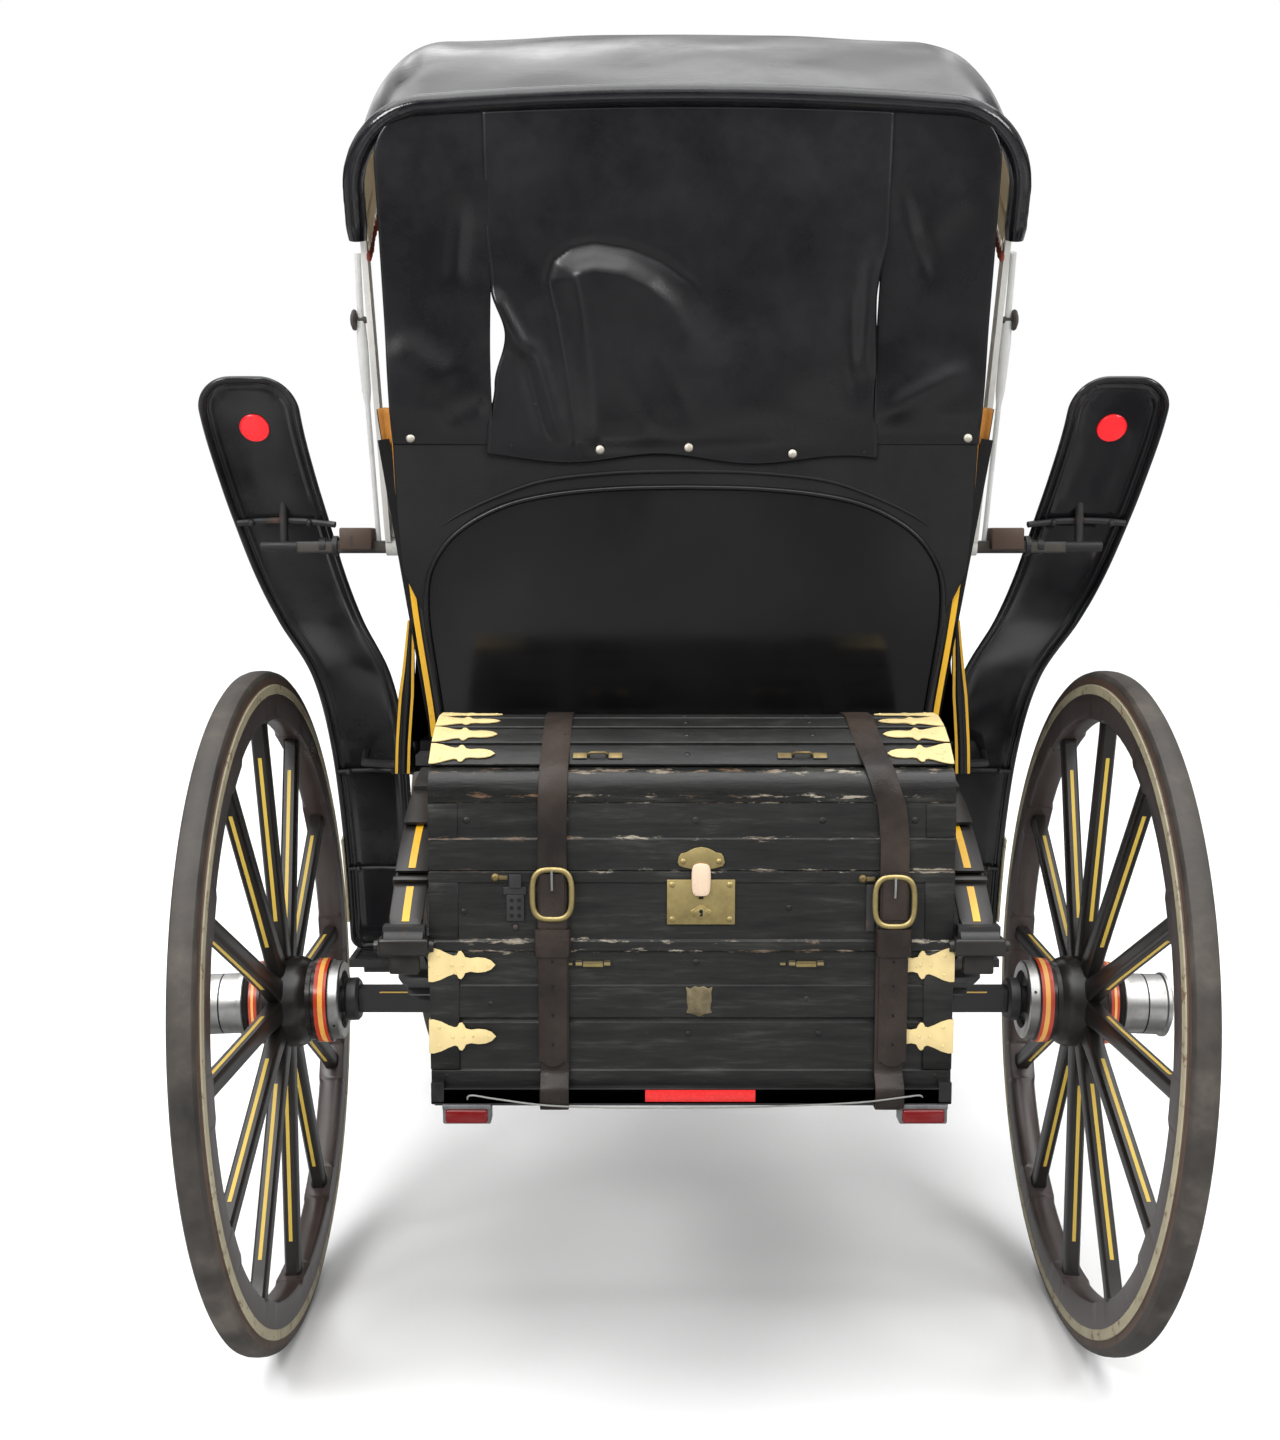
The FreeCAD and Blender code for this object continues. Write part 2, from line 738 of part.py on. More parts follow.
lean = math.radians(float(s.sideLean))
backSlope = math.tan(math.radians(float(s.backLean)))
sideTop = s.backTop - 130
sideDrop = s.sideThick * math.sin(lean)
sideOutline = [
    # ahead, level, and the radius of the arc that leads there
    (20, s.sillLevel),
    (s.seatFront - 40, s.sillLevel),
    (s.seatFront + 90, s.bodyFloor, -330),
    (s.wellEnd, s.bodyFloor),
    (s.wellEnd + s.rampLength, s.noseLevel),
    (noseAhead, s.noseLevel),
    (noseAhead, s.noseLevel + 55),
    (s.wellEnd + s.rampLength, s.noseLevel + 70),
    (s.wellEnd, s.bodyFloor + 120, -900),
    (s.seatFront + 110, s.bodyFloor + 120),
    (s.seatFront + 40, s.seatLevel + 20, -380),
    (s.seatFront - 20, s.seatLevel + 130, 200),
    (s.pivotAhead, sideTop - 20, -600),
    (-48, sideTop + 80, -420),
]
sideRows = [(row[0], row[1] - s.sillLevel) + row[2:] for row in sideOutline]
side = newBody("SideRight")
pad(side, "SidePanel", "YZ_Plane", sideRows, 0, s.sideThick)
place(side, x=s.bodyHalf - s.sideThick, z=s.sillLevel + sideDrop, axis=vector(0, 1, 0), angle=s.sideLean)
keep(bothSides("body_sides", [side]))


def halfAt(level):
    # inner half-width of the body at a level, between the leaning sides
    lift = float(size(level) - s.sillLevel - sideDrop)
    return float(s.bodyHalf) - float(s.sideThick) / math.cos(lean) + lift * math.tan(lean) - 0.5


def board(corners, thick):
    # a board across the body whose ends follow the leaning sides: the lower face's (ahead, level)
    # at its rear and front edges, and its thickness
    sections = []
    for y, z in corners:
        low = halfAt(z)
        high = halfAt(z + thick)
        sections.append(Part.makePolygon([
            vector(-low, y, z), vector(low, y, z), vector(high, y, z + thick), vector(-high, y, z + thick),
            vector(-low, y, z)]))
    return Part.makeLoft(sections, True, True)


def upright(y, thick, low, high):
    # a board across the body that stands from one level to another
    wide = halfAt(high)
    narrow = halfAt(low)
    outline = [vector(-narrow, y, low), vector(narrow, y, low), vector(wide, y, high), vector(-wide, y, high)]
    return Part.Face(Part.makePolygon(outline + outline[:1])).extrude(FreeCAD.Vector(0, thick, 0))


well = board([(s.seatFront + 60, s.bodyFloor), (s.wellEnd, s.bodyFloor)], s.floorThick)
toe = board([(s.wellEnd, s.bodyFloor), (s.wellEnd + s.rampLength, s.noseLevel)], s.floorThick)
nose = board([(s.wellEnd + s.rampLength, s.noseLevel), (noseAhead, s.noseLevel)], s.floorThick)
keep(shaped("body_floor", well.multiFuse([toe, nose])))

boardThick = 14
sillFront = s.seatFront - 40
base = board([(40, s.sillLevel), (sillFront, s.sillLevel)], boardThick)
seatBoard = board([(30, s.seatLevel - boardThick), (s.seatFront + 20, s.seatLevel - boardThick)], boardThick)
riser = upright(s.seatFront - 56, 12, s.sillLevel + boardThick, s.seatLevel - boardThick)
sills = []
for low in (padIn, -padOut):
    sills.append(Part.makeBox(float(padOut - padIn), float(sillFront) + 5, float(s.sillThick),
                              vector(low, -5, sillUnder)))
crossSill = Part.makeBox(2 * float(padIn), 40, float(s.sillThick), vector(-padIn, 100, sillUnder))
keep(shaped("seat_box", base.multiFuse([seatBoard, riser, crossSill] + sills)))
heel = upright(s.seatFront + 62, 12, s.bodyFloor + s.floorThick, s.seatLevel - boardThick)
keep(shaped("heel_board", heel))

# The back panel leans and widens upward. A half-round welt is laid on it as an arch.
back = newBody("back_panel")
rise = s.backTop - s.sillLevel
backFoot = s.backThick * math.sin(math.radians(float(s.backLean)))
flare = 250
pad(back, "BackPad", "XZ_Plane", [
    (-s.bodyHalf, 0), (s.bodyHalf, 0), (s.bodyHalf + 36, flare), (s.bodyHalf + 40, rise),
    (-s.bodyHalf - 40, rise), (-s.bodyHalf - 36, flare)], 0, s.backThick)
weltHalf = s.bodyHalf + 10
weltFoot = 60
weltShoulder = 305
weltTop = 388
weltWide = 9


def weltLine(shift):
    # the arch's line, shift inside its outer edge
    return [(weltHalf - shift, weltFoot), (weltHalf + 12 - shift, weltShoulder - 75),
            (weltHalf - 95, weltShoulder + 45 - shift, 125 - shift), (0, weltTop - shift, 1250)]


outer = weltLine(0)
inner = weltLine(weltWide)
leftOuter = [(-weltHalf + 95, weltShoulder + 45, 1250), (-weltHalf - 12, weltShoulder - 75, 125),
             (-weltHalf, weltFoot)]
leftInner = [(weltWide - weltHalf, weltFoot), (weltWide - weltHalf - 12, weltShoulder - 75),
             (-weltHalf + 95, weltShoulder + 45 - weltWide, weltWide - 125), (0, weltTop - weltWide, -1250),
             (weltHalf - 95, weltShoulder + 45 - weltWide, -1250),
             (weltHalf + 12 - weltWide, weltShoulder - 75, weltWide - 125), (weltHalf - weltWide, weltFoot)]
pad(back, "Welt", "XZ_Plane", outer + leftOuter + leftInner, s.backThick, 4)
place(back, y=18, z=s.sillLevel + backFoot, axis=vector(1, 0, 0), angle=s.backLean)
keep(back)

dash = newBody("dash")
dashHalf = s.bodyHalf - 30
dashFoot = s.noseLevel + s.floorThick
dashRise = s.dashTop - dashFoot
pad(dash, "DashPad", "XZ_Plane", [
    (-dashHalf, 0), (dashHalf, 0), (dashHalf + 25, dashRise - 60), (dashHalf - 35, dashRise, 60),
    (35 - dashHalf, dashRise), (-dashHalf - 25, dashRise - 60, 60)], 0, s.dashThick)
place(dash, y=dashAhead, z=dashFoot, axis=vector(1, 0, 0), angle=-s.dashLean)
keep(dash)

# whip socket: a blind tube on the dash's rear face
socket = newBody("whip_socket")
socketWall = s.socketRadius + 4
revolve(socket, "SocketTube", [
    (0, 0), (socketWall, 0), (socketWall, s.socketDepth + 10), (s.socketRadius, s.socketDepth + 10),
    (s.socketRadius, 10), (0, 10)], "XZ_Plane", "V_Axis")
socketLift = 60
socketBack = s.dashThick + socketWall + s.faceGap
dashLean = math.radians(float(s.dashLean))
place(socket, x=dashHalf - 73,
      y=dashAhead + socketLift * math.sin(dashLean) - socketBack * math.cos(dashLean),
      z=dashFoot + socketLift * math.cos(dashLean) + socketBack * math.sin(dashLean),
      axis=vector(1, 0, 0), angle=-s.dashLean)
keep(socket)

cushionHalf = halfAt(s.seatLevel) - 6
cushionBack = 45
cushionTop = s.seatLevel + 120
keep(box("seat_cushion", (-cushionHalf, cushionBack, s.seatLevel + s.faceGap),
         (cushionHalf, s.seatFront + 20, cushionTop)))
squab = newBody("back_cushion")
pad(squab, "SquabPad", "XZ_Plane", rectangle((-cushionHalf - 10, 0), (cushionHalf + 10, 240)), 0, 70)
squabFront = 72
squabLift = (squabFront - cushionBack) * backSlope
place(squab, y=squabFront, z=cushionTop + s.faceGap + squabLift, axis=vector(1, 0, 0), angle=s.backLean)
keep(squab)

# ---- hood

bows = [
    # name, lean forward of upright, reach from the pivot to the top, half-width beyond the body's
    ("rear", -23.1, 697, 88),
    ("second", 11.8, 874, 83),
    ("third", 28.7, 994, 80),
    ("front", 44.8, 1074, 77),
]
bows = [(name, lean_, reach_, float(s.bodyHalf) + beyond) for name, lean_, reach_, beyond in bows]


def bowPoint(lean_, x, reach_):
    angle = math.radians(lean_)
    return FreeCAD.Vector(x, float(s.pivotAhead) + reach_ * math.sin(angle),
                          float(s.pivotLevel) + reach_ * math.cos(angle))


def bowStep(lean_, distance):
    # a move in front of a bow's plane
    angle = math.radians(lean_)
    return FreeCAD.Vector(0, math.cos(angle), -math.sin(angle)) * float(distance)


def crownRadius(half_):
    # of the arc across the top, between the two corners
    chord = half_ + s.leatherThick - s.hoodCorner
    return (chord * chord + s.crownRise * s.crownRise) / (2 * s.crownRise)


def bow(index, name, lean_, reach_, half_):
    # a bent slat: legs from their eyes on the pivot pin, round corners and a crowned top
    piece = newBody("Bow" + name.title())
    t = s.bowThick
    foot = (s.bodyHalf + s.bowFootOut) - index * (t + s.faceGap)
    wide = half_ - s.faceGap
    top = reach_ - s.faceGap
    corner = s.hoodCorner - s.leatherThick - s.faceGap
    crown = crownRadius(half_)
    start = s.pivotPinRadius + 4
    outline = [
        (foot + t, start), (wide, top - corner), (wide - corner, top, corner), (corner - wide, top, crown),
        (-wide, top - corner, corner), (-foot - t, start), (-foot, start), (t - wide, top - corner),
        (corner - wide, top - t, -(corner - t)), (wide - corner, top - t, -crown),
        (wide - t, top - corner, -(corner - t)), (foot, start)]
    pad(piece, "Bow%sSlat" % name.title(), "XZ_Plane", outline, -s.bowWidth / 2, s.bowWidth)
    for word, low in (("Right", foot), ("Left", -foot - t)):
        eye = "Bow%sEye%s" % (name.title(), word)
        disc(piece, eye, "Pad", "YZ_Plane", s.bowWidth / 2 + 2, (0, 0), low, t)
        doc.recompute()
        disc(piece, "Bow%sHole%s" % (name.title(), word), "Pocket", "YZ_Plane",
             s.pivotPinRadius + s.faceGap, (0, 0), low + t + 1, t + 2)
    return place(piece, y=s.pivotAhead, z=s.pivotLevel, axis=vector(1, 0, 0), angle=-lean_)


keep(group("hood_bows", [bow(index, *row) for index, row in enumerate(bows)]))


def skinCorners(reach_, half_, shift):
    # the leather's outline in a bow's plane, shift inside its outer face
    top = reach_ - shift
    wide = half_ - shift
    r = float(s.hoodCorner) - shift
    low = reach_ - float(s.hoodSkirt)
    bend = r * math.cos(math.radians(45))
    return [(wide, low), (wide, top - r), (wide - r + bend, top - r + bend), (wide - r, top),
            (0, top + float(s.crownRise)), (r - wide, top), (r - wide - bend, top - r + bend),
            (-wide, top - r), (-wide, low)]


def curveThrough(p):
    return [Part.LineSegment(p[0], p[1]).toShape(), Part.Arc(p[1], p[2], p[3]).toShape(),
            Part.Arc(p[3], p[4], p[5]).toShape(), Part.Arc(p[5], p[6], p[7]).toShape(),
            Part.LineSegment(p[7], p[8]).toShape()]


leather = float(s.leatherThick)
bowEdge = float(s.bowWidth) / 2


def skinSection(lean_, reach_, half_, edge):
    # edge is the distance in front of the bow's middle plane
    step = bowStep(lean_, edge)
    faces = []
    for shift in (0, leather):
        faces.append([bowPoint(lean_, x, z) + step
                      for x, z in skinCorners(reach_ + leather, half_ + leather, shift)])
    outer, inner = faces
    inner.reverse()
    joined = curveThrough(outer) + [Part.LineSegment(outer[-1], inner[0]).toShape()]
    joined += curveThrough(inner) + [Part.LineSegment(inner[-1], outer[0]).toShape()]
    return Part.Wire(joined)


sections = [skinSection(lean_, reach_, half_, edge)
            for name, lean_, reach_, half_ in bows for edge in (-bowEdge, bowEdge)]
keep(shaped("hood_leather", Part.makeLoft(sections, True, True)))

# padded roll round the leather's rear edge
rearName, rearLean, rearReach, rearHalf = bows[0]
roll = float(s.rollRadius)
rollStep = bowStep(rearLean, -(bowEdge + roll + float(s.faceGap)))
rollLine = [bowPoint(rearLean, x, z) + rollStep for x, z in skinCorners(rearReach, rearHalf, 0)]
rollPath = Part.Wire(curveThrough(rollLine))
rollSides = 12
rollRound = []
for index in range(rollSides + 1):
    angle = 2 * math.pi * index / rollSides
    across = FreeCAD.Vector(math.cos(angle) * roll, 0, 0)
    rollRound.append(rollLine[0] + across + bowStep(rearLean, math.sin(angle) * roll))
rollShape = rollPath.makePipeShell([Part.makePolygon(rollRound)], True, False)
keep(shaped("hood_roll", rollShape))

# fringed valance inside each side of the leather, from the rear bow to the front bow
valanceTop = float(s.hoodSkirt) - 24
valanceThick = 3
rows = []
for name, lean_, reach_, half_ in bows:
    inside = half_ - float(s.bowThick) - 3
    high = reach_ - valanceTop
    low = high - float(s.valanceDepth)
    corners = [bowPoint(lean_, x, z) for x, z in (
        (inside - valanceThick, low), (inside, low), (inside, high), (inside - valanceThick, high))]
    rows.append(Part.makePolygon(corners + corners[:1]))
valance = Part.makeLoft(rows, True, True)

# rear curtain: two side panels and a middle one lapped over them, hung under the roll
rollTop = bowPoint(rearLean, 0, rearReach) + rollStep
curtainTop = rollTop.z - roll - 2
curtainLow = float(s.backTop) - 68
backRear = 18 - float(s.backThick) / math.cos(math.radians(float(s.backLean)))
curtainFoot = backRear - backSlope * (curtainLow - float(s.sillLevel)) - 0.9
curtainLean = math.degrees(math.atan2(curtainFoot - rollTop.y, curtainTop - curtainLow))
drop = curtainTop - curtainLow
curtainHalf = rearHalf - roll - 22
lapHalf = 274
lapOver = 12
cornerCut = 82
cornerRound = 98
curtains = []
for name, low, high, back_ in (
        ("Left", -curtainHalf, lapOver - lapHalf, 0), ("Middle", -lapHalf, lapHalf, 4.3),
        ("Right", lapHalf - lapOver, curtainHalf, 0)):
    flap = newBody("Curtain" + name)
    outline = {
        "Left": [(low, 0), (high, 0), (high, drop), (low + cornerCut, drop - 2),
                 (low, drop - 50, cornerRound)],
        "Middle": rectangle((low, 0), (high, drop)),
        "Right": [(low, 0), (high, 0), (high, drop - 50), (high - cornerCut, drop - 2, cornerRound),
                  (low, drop)],
    }[name]
    pad(flap, "Flap" + name, "XZ_Plane", outline, back_, 4)
    curtains.append(place(flap, y=curtainFoot, z=curtainLow, axis=vector(1, 0, 0), angle=curtainLean))
keep(group("rear_curtain", curtains))


def pairOf(shape):
    # a right-hand shape with its mirror image
    image = shape.mirror(FreeCAD.Vector(0, 0, 0), FreeCAD.Vector(1, 0, 0))
    return Part.makeCompound([shape, image])


keep(shaped("valance", pairOf(valance)))

# prop irons: a pin from each body side out under the mudguard, with the block that the folded
# hood's bows rest on
flangeRadius = 20
sideFace = halfAt(s.pivotLevel) + float(s.sideThick) / math.cos(lean) + 0.5
pinStart = sideFace + flangeRadius * math.tan(lean) + float(s.faceGap)
pinEnd = 700
pinRight = rod("PivotPinRight", s.pivotPinRadius, (pinStart, s.pivotAhead, s.pivotLevel),
               pinEnd - pinStart, "x")
flange = rod("PivotFlangeRight", flangeRadius, (pinStart, s.pivotAhead, s.pivotLevel), 4, "x")
keep(bothSides("prop_irons", [fuse("PropRight", [pinRight, flange])]))
restIn = s.bodyHalf + 109
rest = newBody("RestRight")
pad(rest, "RestPad", "YZ_Plane", [(-24, 0), (24, 0), (24, 12), (16, 20, 8), (-16, 20), (-24, 12, 8)], 0, 52)
place(rest, x=restIn, y=s.pivotAhead, z=s.pivotLevel + s.pivotPinRadius)
keep(bothSides("hood_rests", [rest]))

# folding side stays of the hood, from the rear bow to the pivot pins
stayX = rearHalf + 6.5
pivotPoint = (s.pivotAhead, s.pivotLevel)
stayTop = bowPoint(rearLean, stayX, rearReach - float(s.hoodSkirt) - 25)
stayElbow = vector(stayX + 6, s.pivotAhead - s.elbowBack, s.pivotLevel + s.elbowRise)
stayFoot = vector(restIn - s.pivotPinRadius, *pivotPoint)
stay = pole([(stayTop, 7), (stayElbow, 7), (stayFoot, 7)], 8)
knuckle = Part.makeCylinder(22, 12, stayElbow - FreeCAD.Vector(6, 0, 0), FreeCAD.Vector(1, 0, 0))
stayBore = Part.makeCylinder(float(s.pivotPinRadius), 60, vector(stayX - 30, *pivotPoint), vector(1, 0, 0))
keep(shaped("landau_joints", pairOf(stay.fuse(knuckle).cut(stayBore))))

# ---- mudguards

guardTable = [
    # ahead, level, distance from the vehicle's middle, half-width
    (37, 1517, 690, 33),
    (50, 1492, 689, 67),
    (76, 1449, 686, 79),
    (170, 1313, 668, 79),
    (330, 1132, 635, 75),
    (500, 1017, 612, 74),
    (640, 859, 606, 74),
    (718, 648, 604, 70),
    (760, 426, 604, 67),
]


def guardFrame(index):
    # the middle of a row, and the directions along the guard and off its upper face
    here = guardTable[index]
    before = guardTable[max(index - 1, 0)]
    after = guardTable[min(index + 1, len(guardTable) - 1)]
    along = FreeCAD.Vector(0, after[0] - before[0], after[1] - before[1]).normalize()
    return FreeCAD.Vector(here[2], here[0], here[1]), along, FreeCAD.Vector(0, -along.z, along.y)


def guardWire(index):
    # a crowned plate with a rolled edge down each side
    middle, along, off = guardFrame(index)
    half_ = guardTable[index][3]
    bead = float(s.guardBead)
    thick = float(s.guardThick)
    crown = half_ * 0.1
    upper = [(-half_, bead + 1), (bead - half_, bead + 1), (bead + 4 - half_, thick), (0, thick + crown),
             (half_ - bead - 4, thick), (half_ - bead, bead + 1), (half_, bead + 1)]
    lower = [(half_, 0), (half_ - bead - 4, 0), (0, crown), (bead + 4 - half_, 0), (-half_, 0)]
    corners = [middle + FreeCAD.Vector(x, 0, 0) + off * lift for x, lift in upper + lower]
    return Part.makePolygon(corners + corners[:1])


guard = Part.makeLoft([guardWire(index) for index in range(len(guardTable))], True, True)
keep(shaped("mudguards", pairOf(guard)))

# irons that carry each mudguard: a stud on the prop iron and a bent bar from the body side
studRadius = 7
studAcross = 662
stud = Part.makeCylinder(studRadius, 120, vector(studAcross, *pivotPoint), vector(0, 0, 1))
boreStart = vector(studAcross - 100, *pivotPoint)
studBore = Part.makeCylinder(float(s.pivotPinRadius), 200, boreStart, vector(1, 0, 0))
stud = stud.cut(studBore)
stud = sorted(stud.cut(guard).Solids, key=lambda solid: solid.CenterOfMass.z)[0]
barLevel = 850
barStart = halfAt(barLevel) + float(s.sideThick) / math.cos(lean) + 6
barLine = [FreeCAD.Vector(barStart, 545, barLevel), FreeCAD.Vector(548, 590, barLevel - 12),
           FreeCAD.Vector(612, 618, barLevel - 12), FreeCAD.Vector(618, 690, barLevel + 26)]
bar = pole([(point, 8) for point in barLine], 8)
bar = sorted(bar.cut(guard).Solids, key=lambda solid: solid.CenterOfMass.y)[0]
keep(shaped("guard_irons", pairOf(Part.makeCompound([stud, bar]))))

# ---- steps

# treads: a frame with ribs across it, the ribs a pattern of one
stepInner = s.rearTrack - 60 - s.stepWidth / 2
stepOuter = stepInner + s.stepWidth
stepEnd = s.stepAhead + s.stepLength
stepUnder = s.stepTop - s.stepDepth
tread = newBody("TreadRight")
pad(tread, "TreadFrame", "XY_Plane", rectangle((stepInner, s.stepAhead), (stepOuter, stepEnd)),
    stepUnder, s.stepDepth)
pocket(tread, "TreadOpening", "XY_Plane", rectangle(
    (stepInner + s.stepFrame, s.stepAhead + s.stepFrame), (stepOuter - s.stepFrame, stepEnd - s.stepFrame)),
    s.stepTop, s.stepDepth)
ribSpace = (s.stepLength - s.stepFrame * 2) / (s.stepBars + 1)
ribStart = s.stepAhead + s.stepFrame + ribSpace - 4
rib = pad(tread, "TreadRib", "XY_Plane", rectangle(
    (stepInner + s.stepFrame - 1, ribStart), (stepOuter - s.stepFrame + 1, ribStart + 8)),
    stepUnder + 3, s.stepDepth - 5)
doc.recompute()
ribs = tread.newObject("PartDesign::LinearPattern", "TreadRibs")
ribs.Originals = [rib]
ribs.Direction = (origin(tread, "Y_Axis"), [""])
bind(ribs, "Length", ribSpace * (s.stepBars - 1))
bind(ribs, "Occurrences", s.stepBars)
tread.Tip = ribs
place(tread)
keep(bothSides("steps", [tread]))

# irons from under the floor, down and out beneath each tread
ironRadius = 9
ironTop = float(s.bodyFloor) - ironRadius
ironLow = float(stepUnder) - ironRadius
sillHalf = halfAt(s.bodyFloor) - 4
treadMiddle = float(stepInner + s.stepWidth / 2)
irons = []
for along in (700, 765):
    line = [(sillHalf - 40, ironTop), (sillHalf, ironTop), (sillHalf + 70, 560),
            (float(stepInner) - 20, ironLow), (treadMiddle + 40, ironLow)]
    irons.append(pole([(FreeCAD.Vector(x, along, z), ironRadius) for x, z in line], 8))
keep(shaped("step_irons", pairOf(Part.makeCompound(irons))))

# ---- rack and trunk

rackRear = -s.trunkRear - 18
rackHalf = trunkHalf - 6
armThick = 10
armHalf = 15
armAcross = 200
railLow = s.railTop - s.railDepth
trunkFront = s.trunkDepth - s.trunkRear
rearRail = box("RearRail", (-rackHalf, rackRear, railLow), (rackHalf, rackRear + s.railWidth, s.railTop))
arms = []
for name, middle in (("Left", -armAcross), ("Right", armAcross)):
    # along under the trunk, up clear of the axle, and forward under the seat box
    arm = newBody("RackArm" + name)
    pad(arm, "RackStrap" + name, "YZ_Plane", [
        (rackRear + s.railWidth - 2, s.railTop - armThick), (-48, s.railTop - armThick),
        (50, sillUnder - armThick, 1400), (140, sillUnder - armThick), (140, sillUnder),
        (40, sillUnder), (-58, s.railTop, -1400), (rackRear + s.railWidth - 2, s.railTop)],
        middle - armHalf, armHalf * 2)
    arms.append(place(arm))
keep(fuse("trunk_rack", [rearRail] + arms))

# tail lamps under the rail's ends, each a tapered case, and the red lenses and reflectors
lampAcross = trunkHalf - 43
lampHalf = 32
lampLow = railLow - 32
lampRear = rackRear - 2
lamp = newBody("LampRight")
pad(lamp, "LampCase", "YZ_Plane", [
    (lampRear, lampLow), (lampRear + 20, lampLow + 4), (lampRear + 24, railLow), (lampRear + 4, railLow),
    (lampRear, railLow - 5, 6)], lampAcross - lampHalf, lampHalf * 2)
place(lamp)
keep(bothSides("tail_lamps", [lamp]))
lens = box("LensRight", (lampAcross - lampHalf + 3, lampRear - 4, lampLow + 3),
           (lampAcross + lampHalf - 3, lampRear, railLow - 6))
strip = box("RedStrip", (-62, rackRear - 3, s.railTop - 15), (86, rackRear, s.railTop - 2))
tipMiddle, tipAlong, tipOff = guardFrame(2)
reflectorDeep = 8
reflectorSeat = guardTable[2][3] * 0.1 + 1
reflector = Part.makeCylinder(float(s.reflectorRadius), reflectorDeep, tipMiddle + tipOff * reflectorSeat,
                              tipOff * -1)
guardReflectors = shaped("GuardReflectors", pairOf(reflector.cut(guard)))
keep(group("reflectors", [strip, lens, mirror("LensLeft", lens), guardReflectors]))

trunkFloor = s.railTop
wall = s.trunkWall
ledgeProud = 2.5
trunk = newBody("trunk_base")
pad(trunk, "TrunkOutside", "XY_Plane", rectangle((-trunkHalf, -s.trunkRear), (trunkHalf, trunkFront)),
    trunkFloor, s.trunkSeam - trunkFloor)
for name, low, high in (("Ledge", s.ledgeLevel - 7, s.ledgeLevel + 7), ("Foot", trunkFloor, trunkFloor + 20),
                        ("SeamBand", s.trunkSeam - 16, s.trunkSeam)):
    pad(trunk, "Trunk" + name, "XY_Plane", rectangle(
        (-trunkHalf - ledgeProud, -s.trunkRear - ledgeProud), (trunkHalf + ledgeProud, trunkFront)),
        low, high - low)
pocket(trunk, "TrunkGroove", "XY_Plane", rectangle(
    (-trunkHalf - 1, -s.trunkRear - 1), (trunkHalf + 1, 2 - s.trunkRear)), s.grooveLevel + 3, 6)
pocket(trunk, "TrunkInside", "XY_Plane", rectangle(
    (wall - trunkHalf, wall - s.trunkRear), (trunkHalf - wall, trunkFront - wall)),
    s.trunkSeam, s.trunkSeam - trunkFloor - wall)
place(trunk)
keep(trunk)

# The lid's section steps in at its shoulder, rounds over and rises as a low dome.
lidLow = s.trunkSeam + s.faceGap
shoulderIn = 4
roundOver = 26
domeHalf = s.trunkDepth / 2 - roundOver
domeMiddle = trunkFront - s.trunkDepth / 2
domeRise = s.trunkCrown - s.domeFoot
domeRadius = (domeHalf * domeHalf + domeRise * domeRise) / (2 * domeRise)


def lidOutline(inset, low):
    rear = inset - s.trunkRear
    fore = trunkFront - inset
    return [
        (rear, low), (fore, low), (fore, s.lidShoulder), (fore - shoulderIn, s.lidShoulder),
        (fore - shoulderIn, s.lidShoulder + 8), (fore - roundOver, s.domeFoot - inset, 60),
        (rear + roundOver, s.domeFoot - inset, domeRadius), (rear + shoulderIn, s.lidShoulder + 8, 60),
        (rear + shoulderIn, s.lidShoulder), (rear, s.lidShoulder)]


lid = newBody("LidShell")
pad(lid, "LidOutside", "YZ_Plane", lidOutline(size(0), lidLow), -trunkHalf, trunkHalf * 2)
pocket(lid, "LidInside", "YZ_Plane", lidOutline(wall, lidLow - 1), trunkHalf - wall, trunkHalf * 2 - wall * 2)
place(lid)


def onDome(label, angle, middle, wide, deep, lift, thick):
    # a flat slat laid across the dome, angle toward the front from its top, with its underside
    # lift outside the dome's surface
    tilt = math.radians(angle)
    reach_ = domeRadius + lift
    slat = doc.addObject("Part::Box", label)
    slat.Label = label
    for path, amount in (("Length", wide), ("Width", deep), ("Height", thick)):
        bind(slat, path, amount)
    across = middle - wide / 2
    return place(slat, x=across, y=domeMiddle + reach_ * math.sin(tilt) - deep / 2 * math.cos(tilt),
                 z=s.trunkCrown - domeRadius + reach_ * math.cos(tilt) + deep / 2 * math.sin(tilt),
                 axis=vector(1, 0, 0), angle=-angle)


slatAngles = (-31, -15.5, 0, 15.5, 31)
slatProud = 2
slats = [onDome("Slat%d" % index, angle, size(0), trunkHalf * 2 - 12, size(44), size(-3), size(3 + slatProud))
         for index, angle in enumerate(slatAngles)]
keep(fuse("trunk_lid", [lid] + slats))

# brass: corner fittings with pointed ends, the lock plate, and the fittings that ride on the lid
fittingThick = 2.2
fittings = []
for index, level in enumerate((697, 604)):
    fitting = newBody("CornerFitting%d" % index)
    deep = s.fittingHalf
    edge = trunkHalf + fittingThick
    # flared at the corner, with a lobe above and below and a leaf-shaped end: (distance in, half-height)
    lobes = [(0, deep), (16, deep - 3), (34, 12), (38, 18), (46, 18), (50, 10), (66, 10), (82, 7)]
    pad(fitting, "FittingFace%d" % index, "XZ_Plane",
        [(edge - s.fittingLength, level)]
        + [(edge - inward, level - high) for inward, high in reversed(lobes)]
        + [(edge - inward, level + high) for inward, high in lobes], s.trunkRear, fittingThick)
    pad(fitting, "FittingWrap%d" % index, "YZ_Plane", rectangle(
        (-s.trunkRear - fittingThick, level - deep), (28 - s.trunkRear, level + deep)),
        trunkHalf, fittingThick)
    fittings.append(place(fitting))
lock = newBody("LockPlate")
lockTop = s.lockTop
pad(lock, "LockFace", "XZ_Plane", rectangle((-33, lockTop - 61), (53, lockTop)), s.trunkRear, 3)
disc(lock, "LockBoss", "Pad", "XZ_Plane", size(12), (10, lockTop - 43), s.trunkRear, size(5))
place(lock)
keep(group("base_fittings", fittings + [mirror(piece.Label + "Image", piece) for piece in fittings] + [lock]))

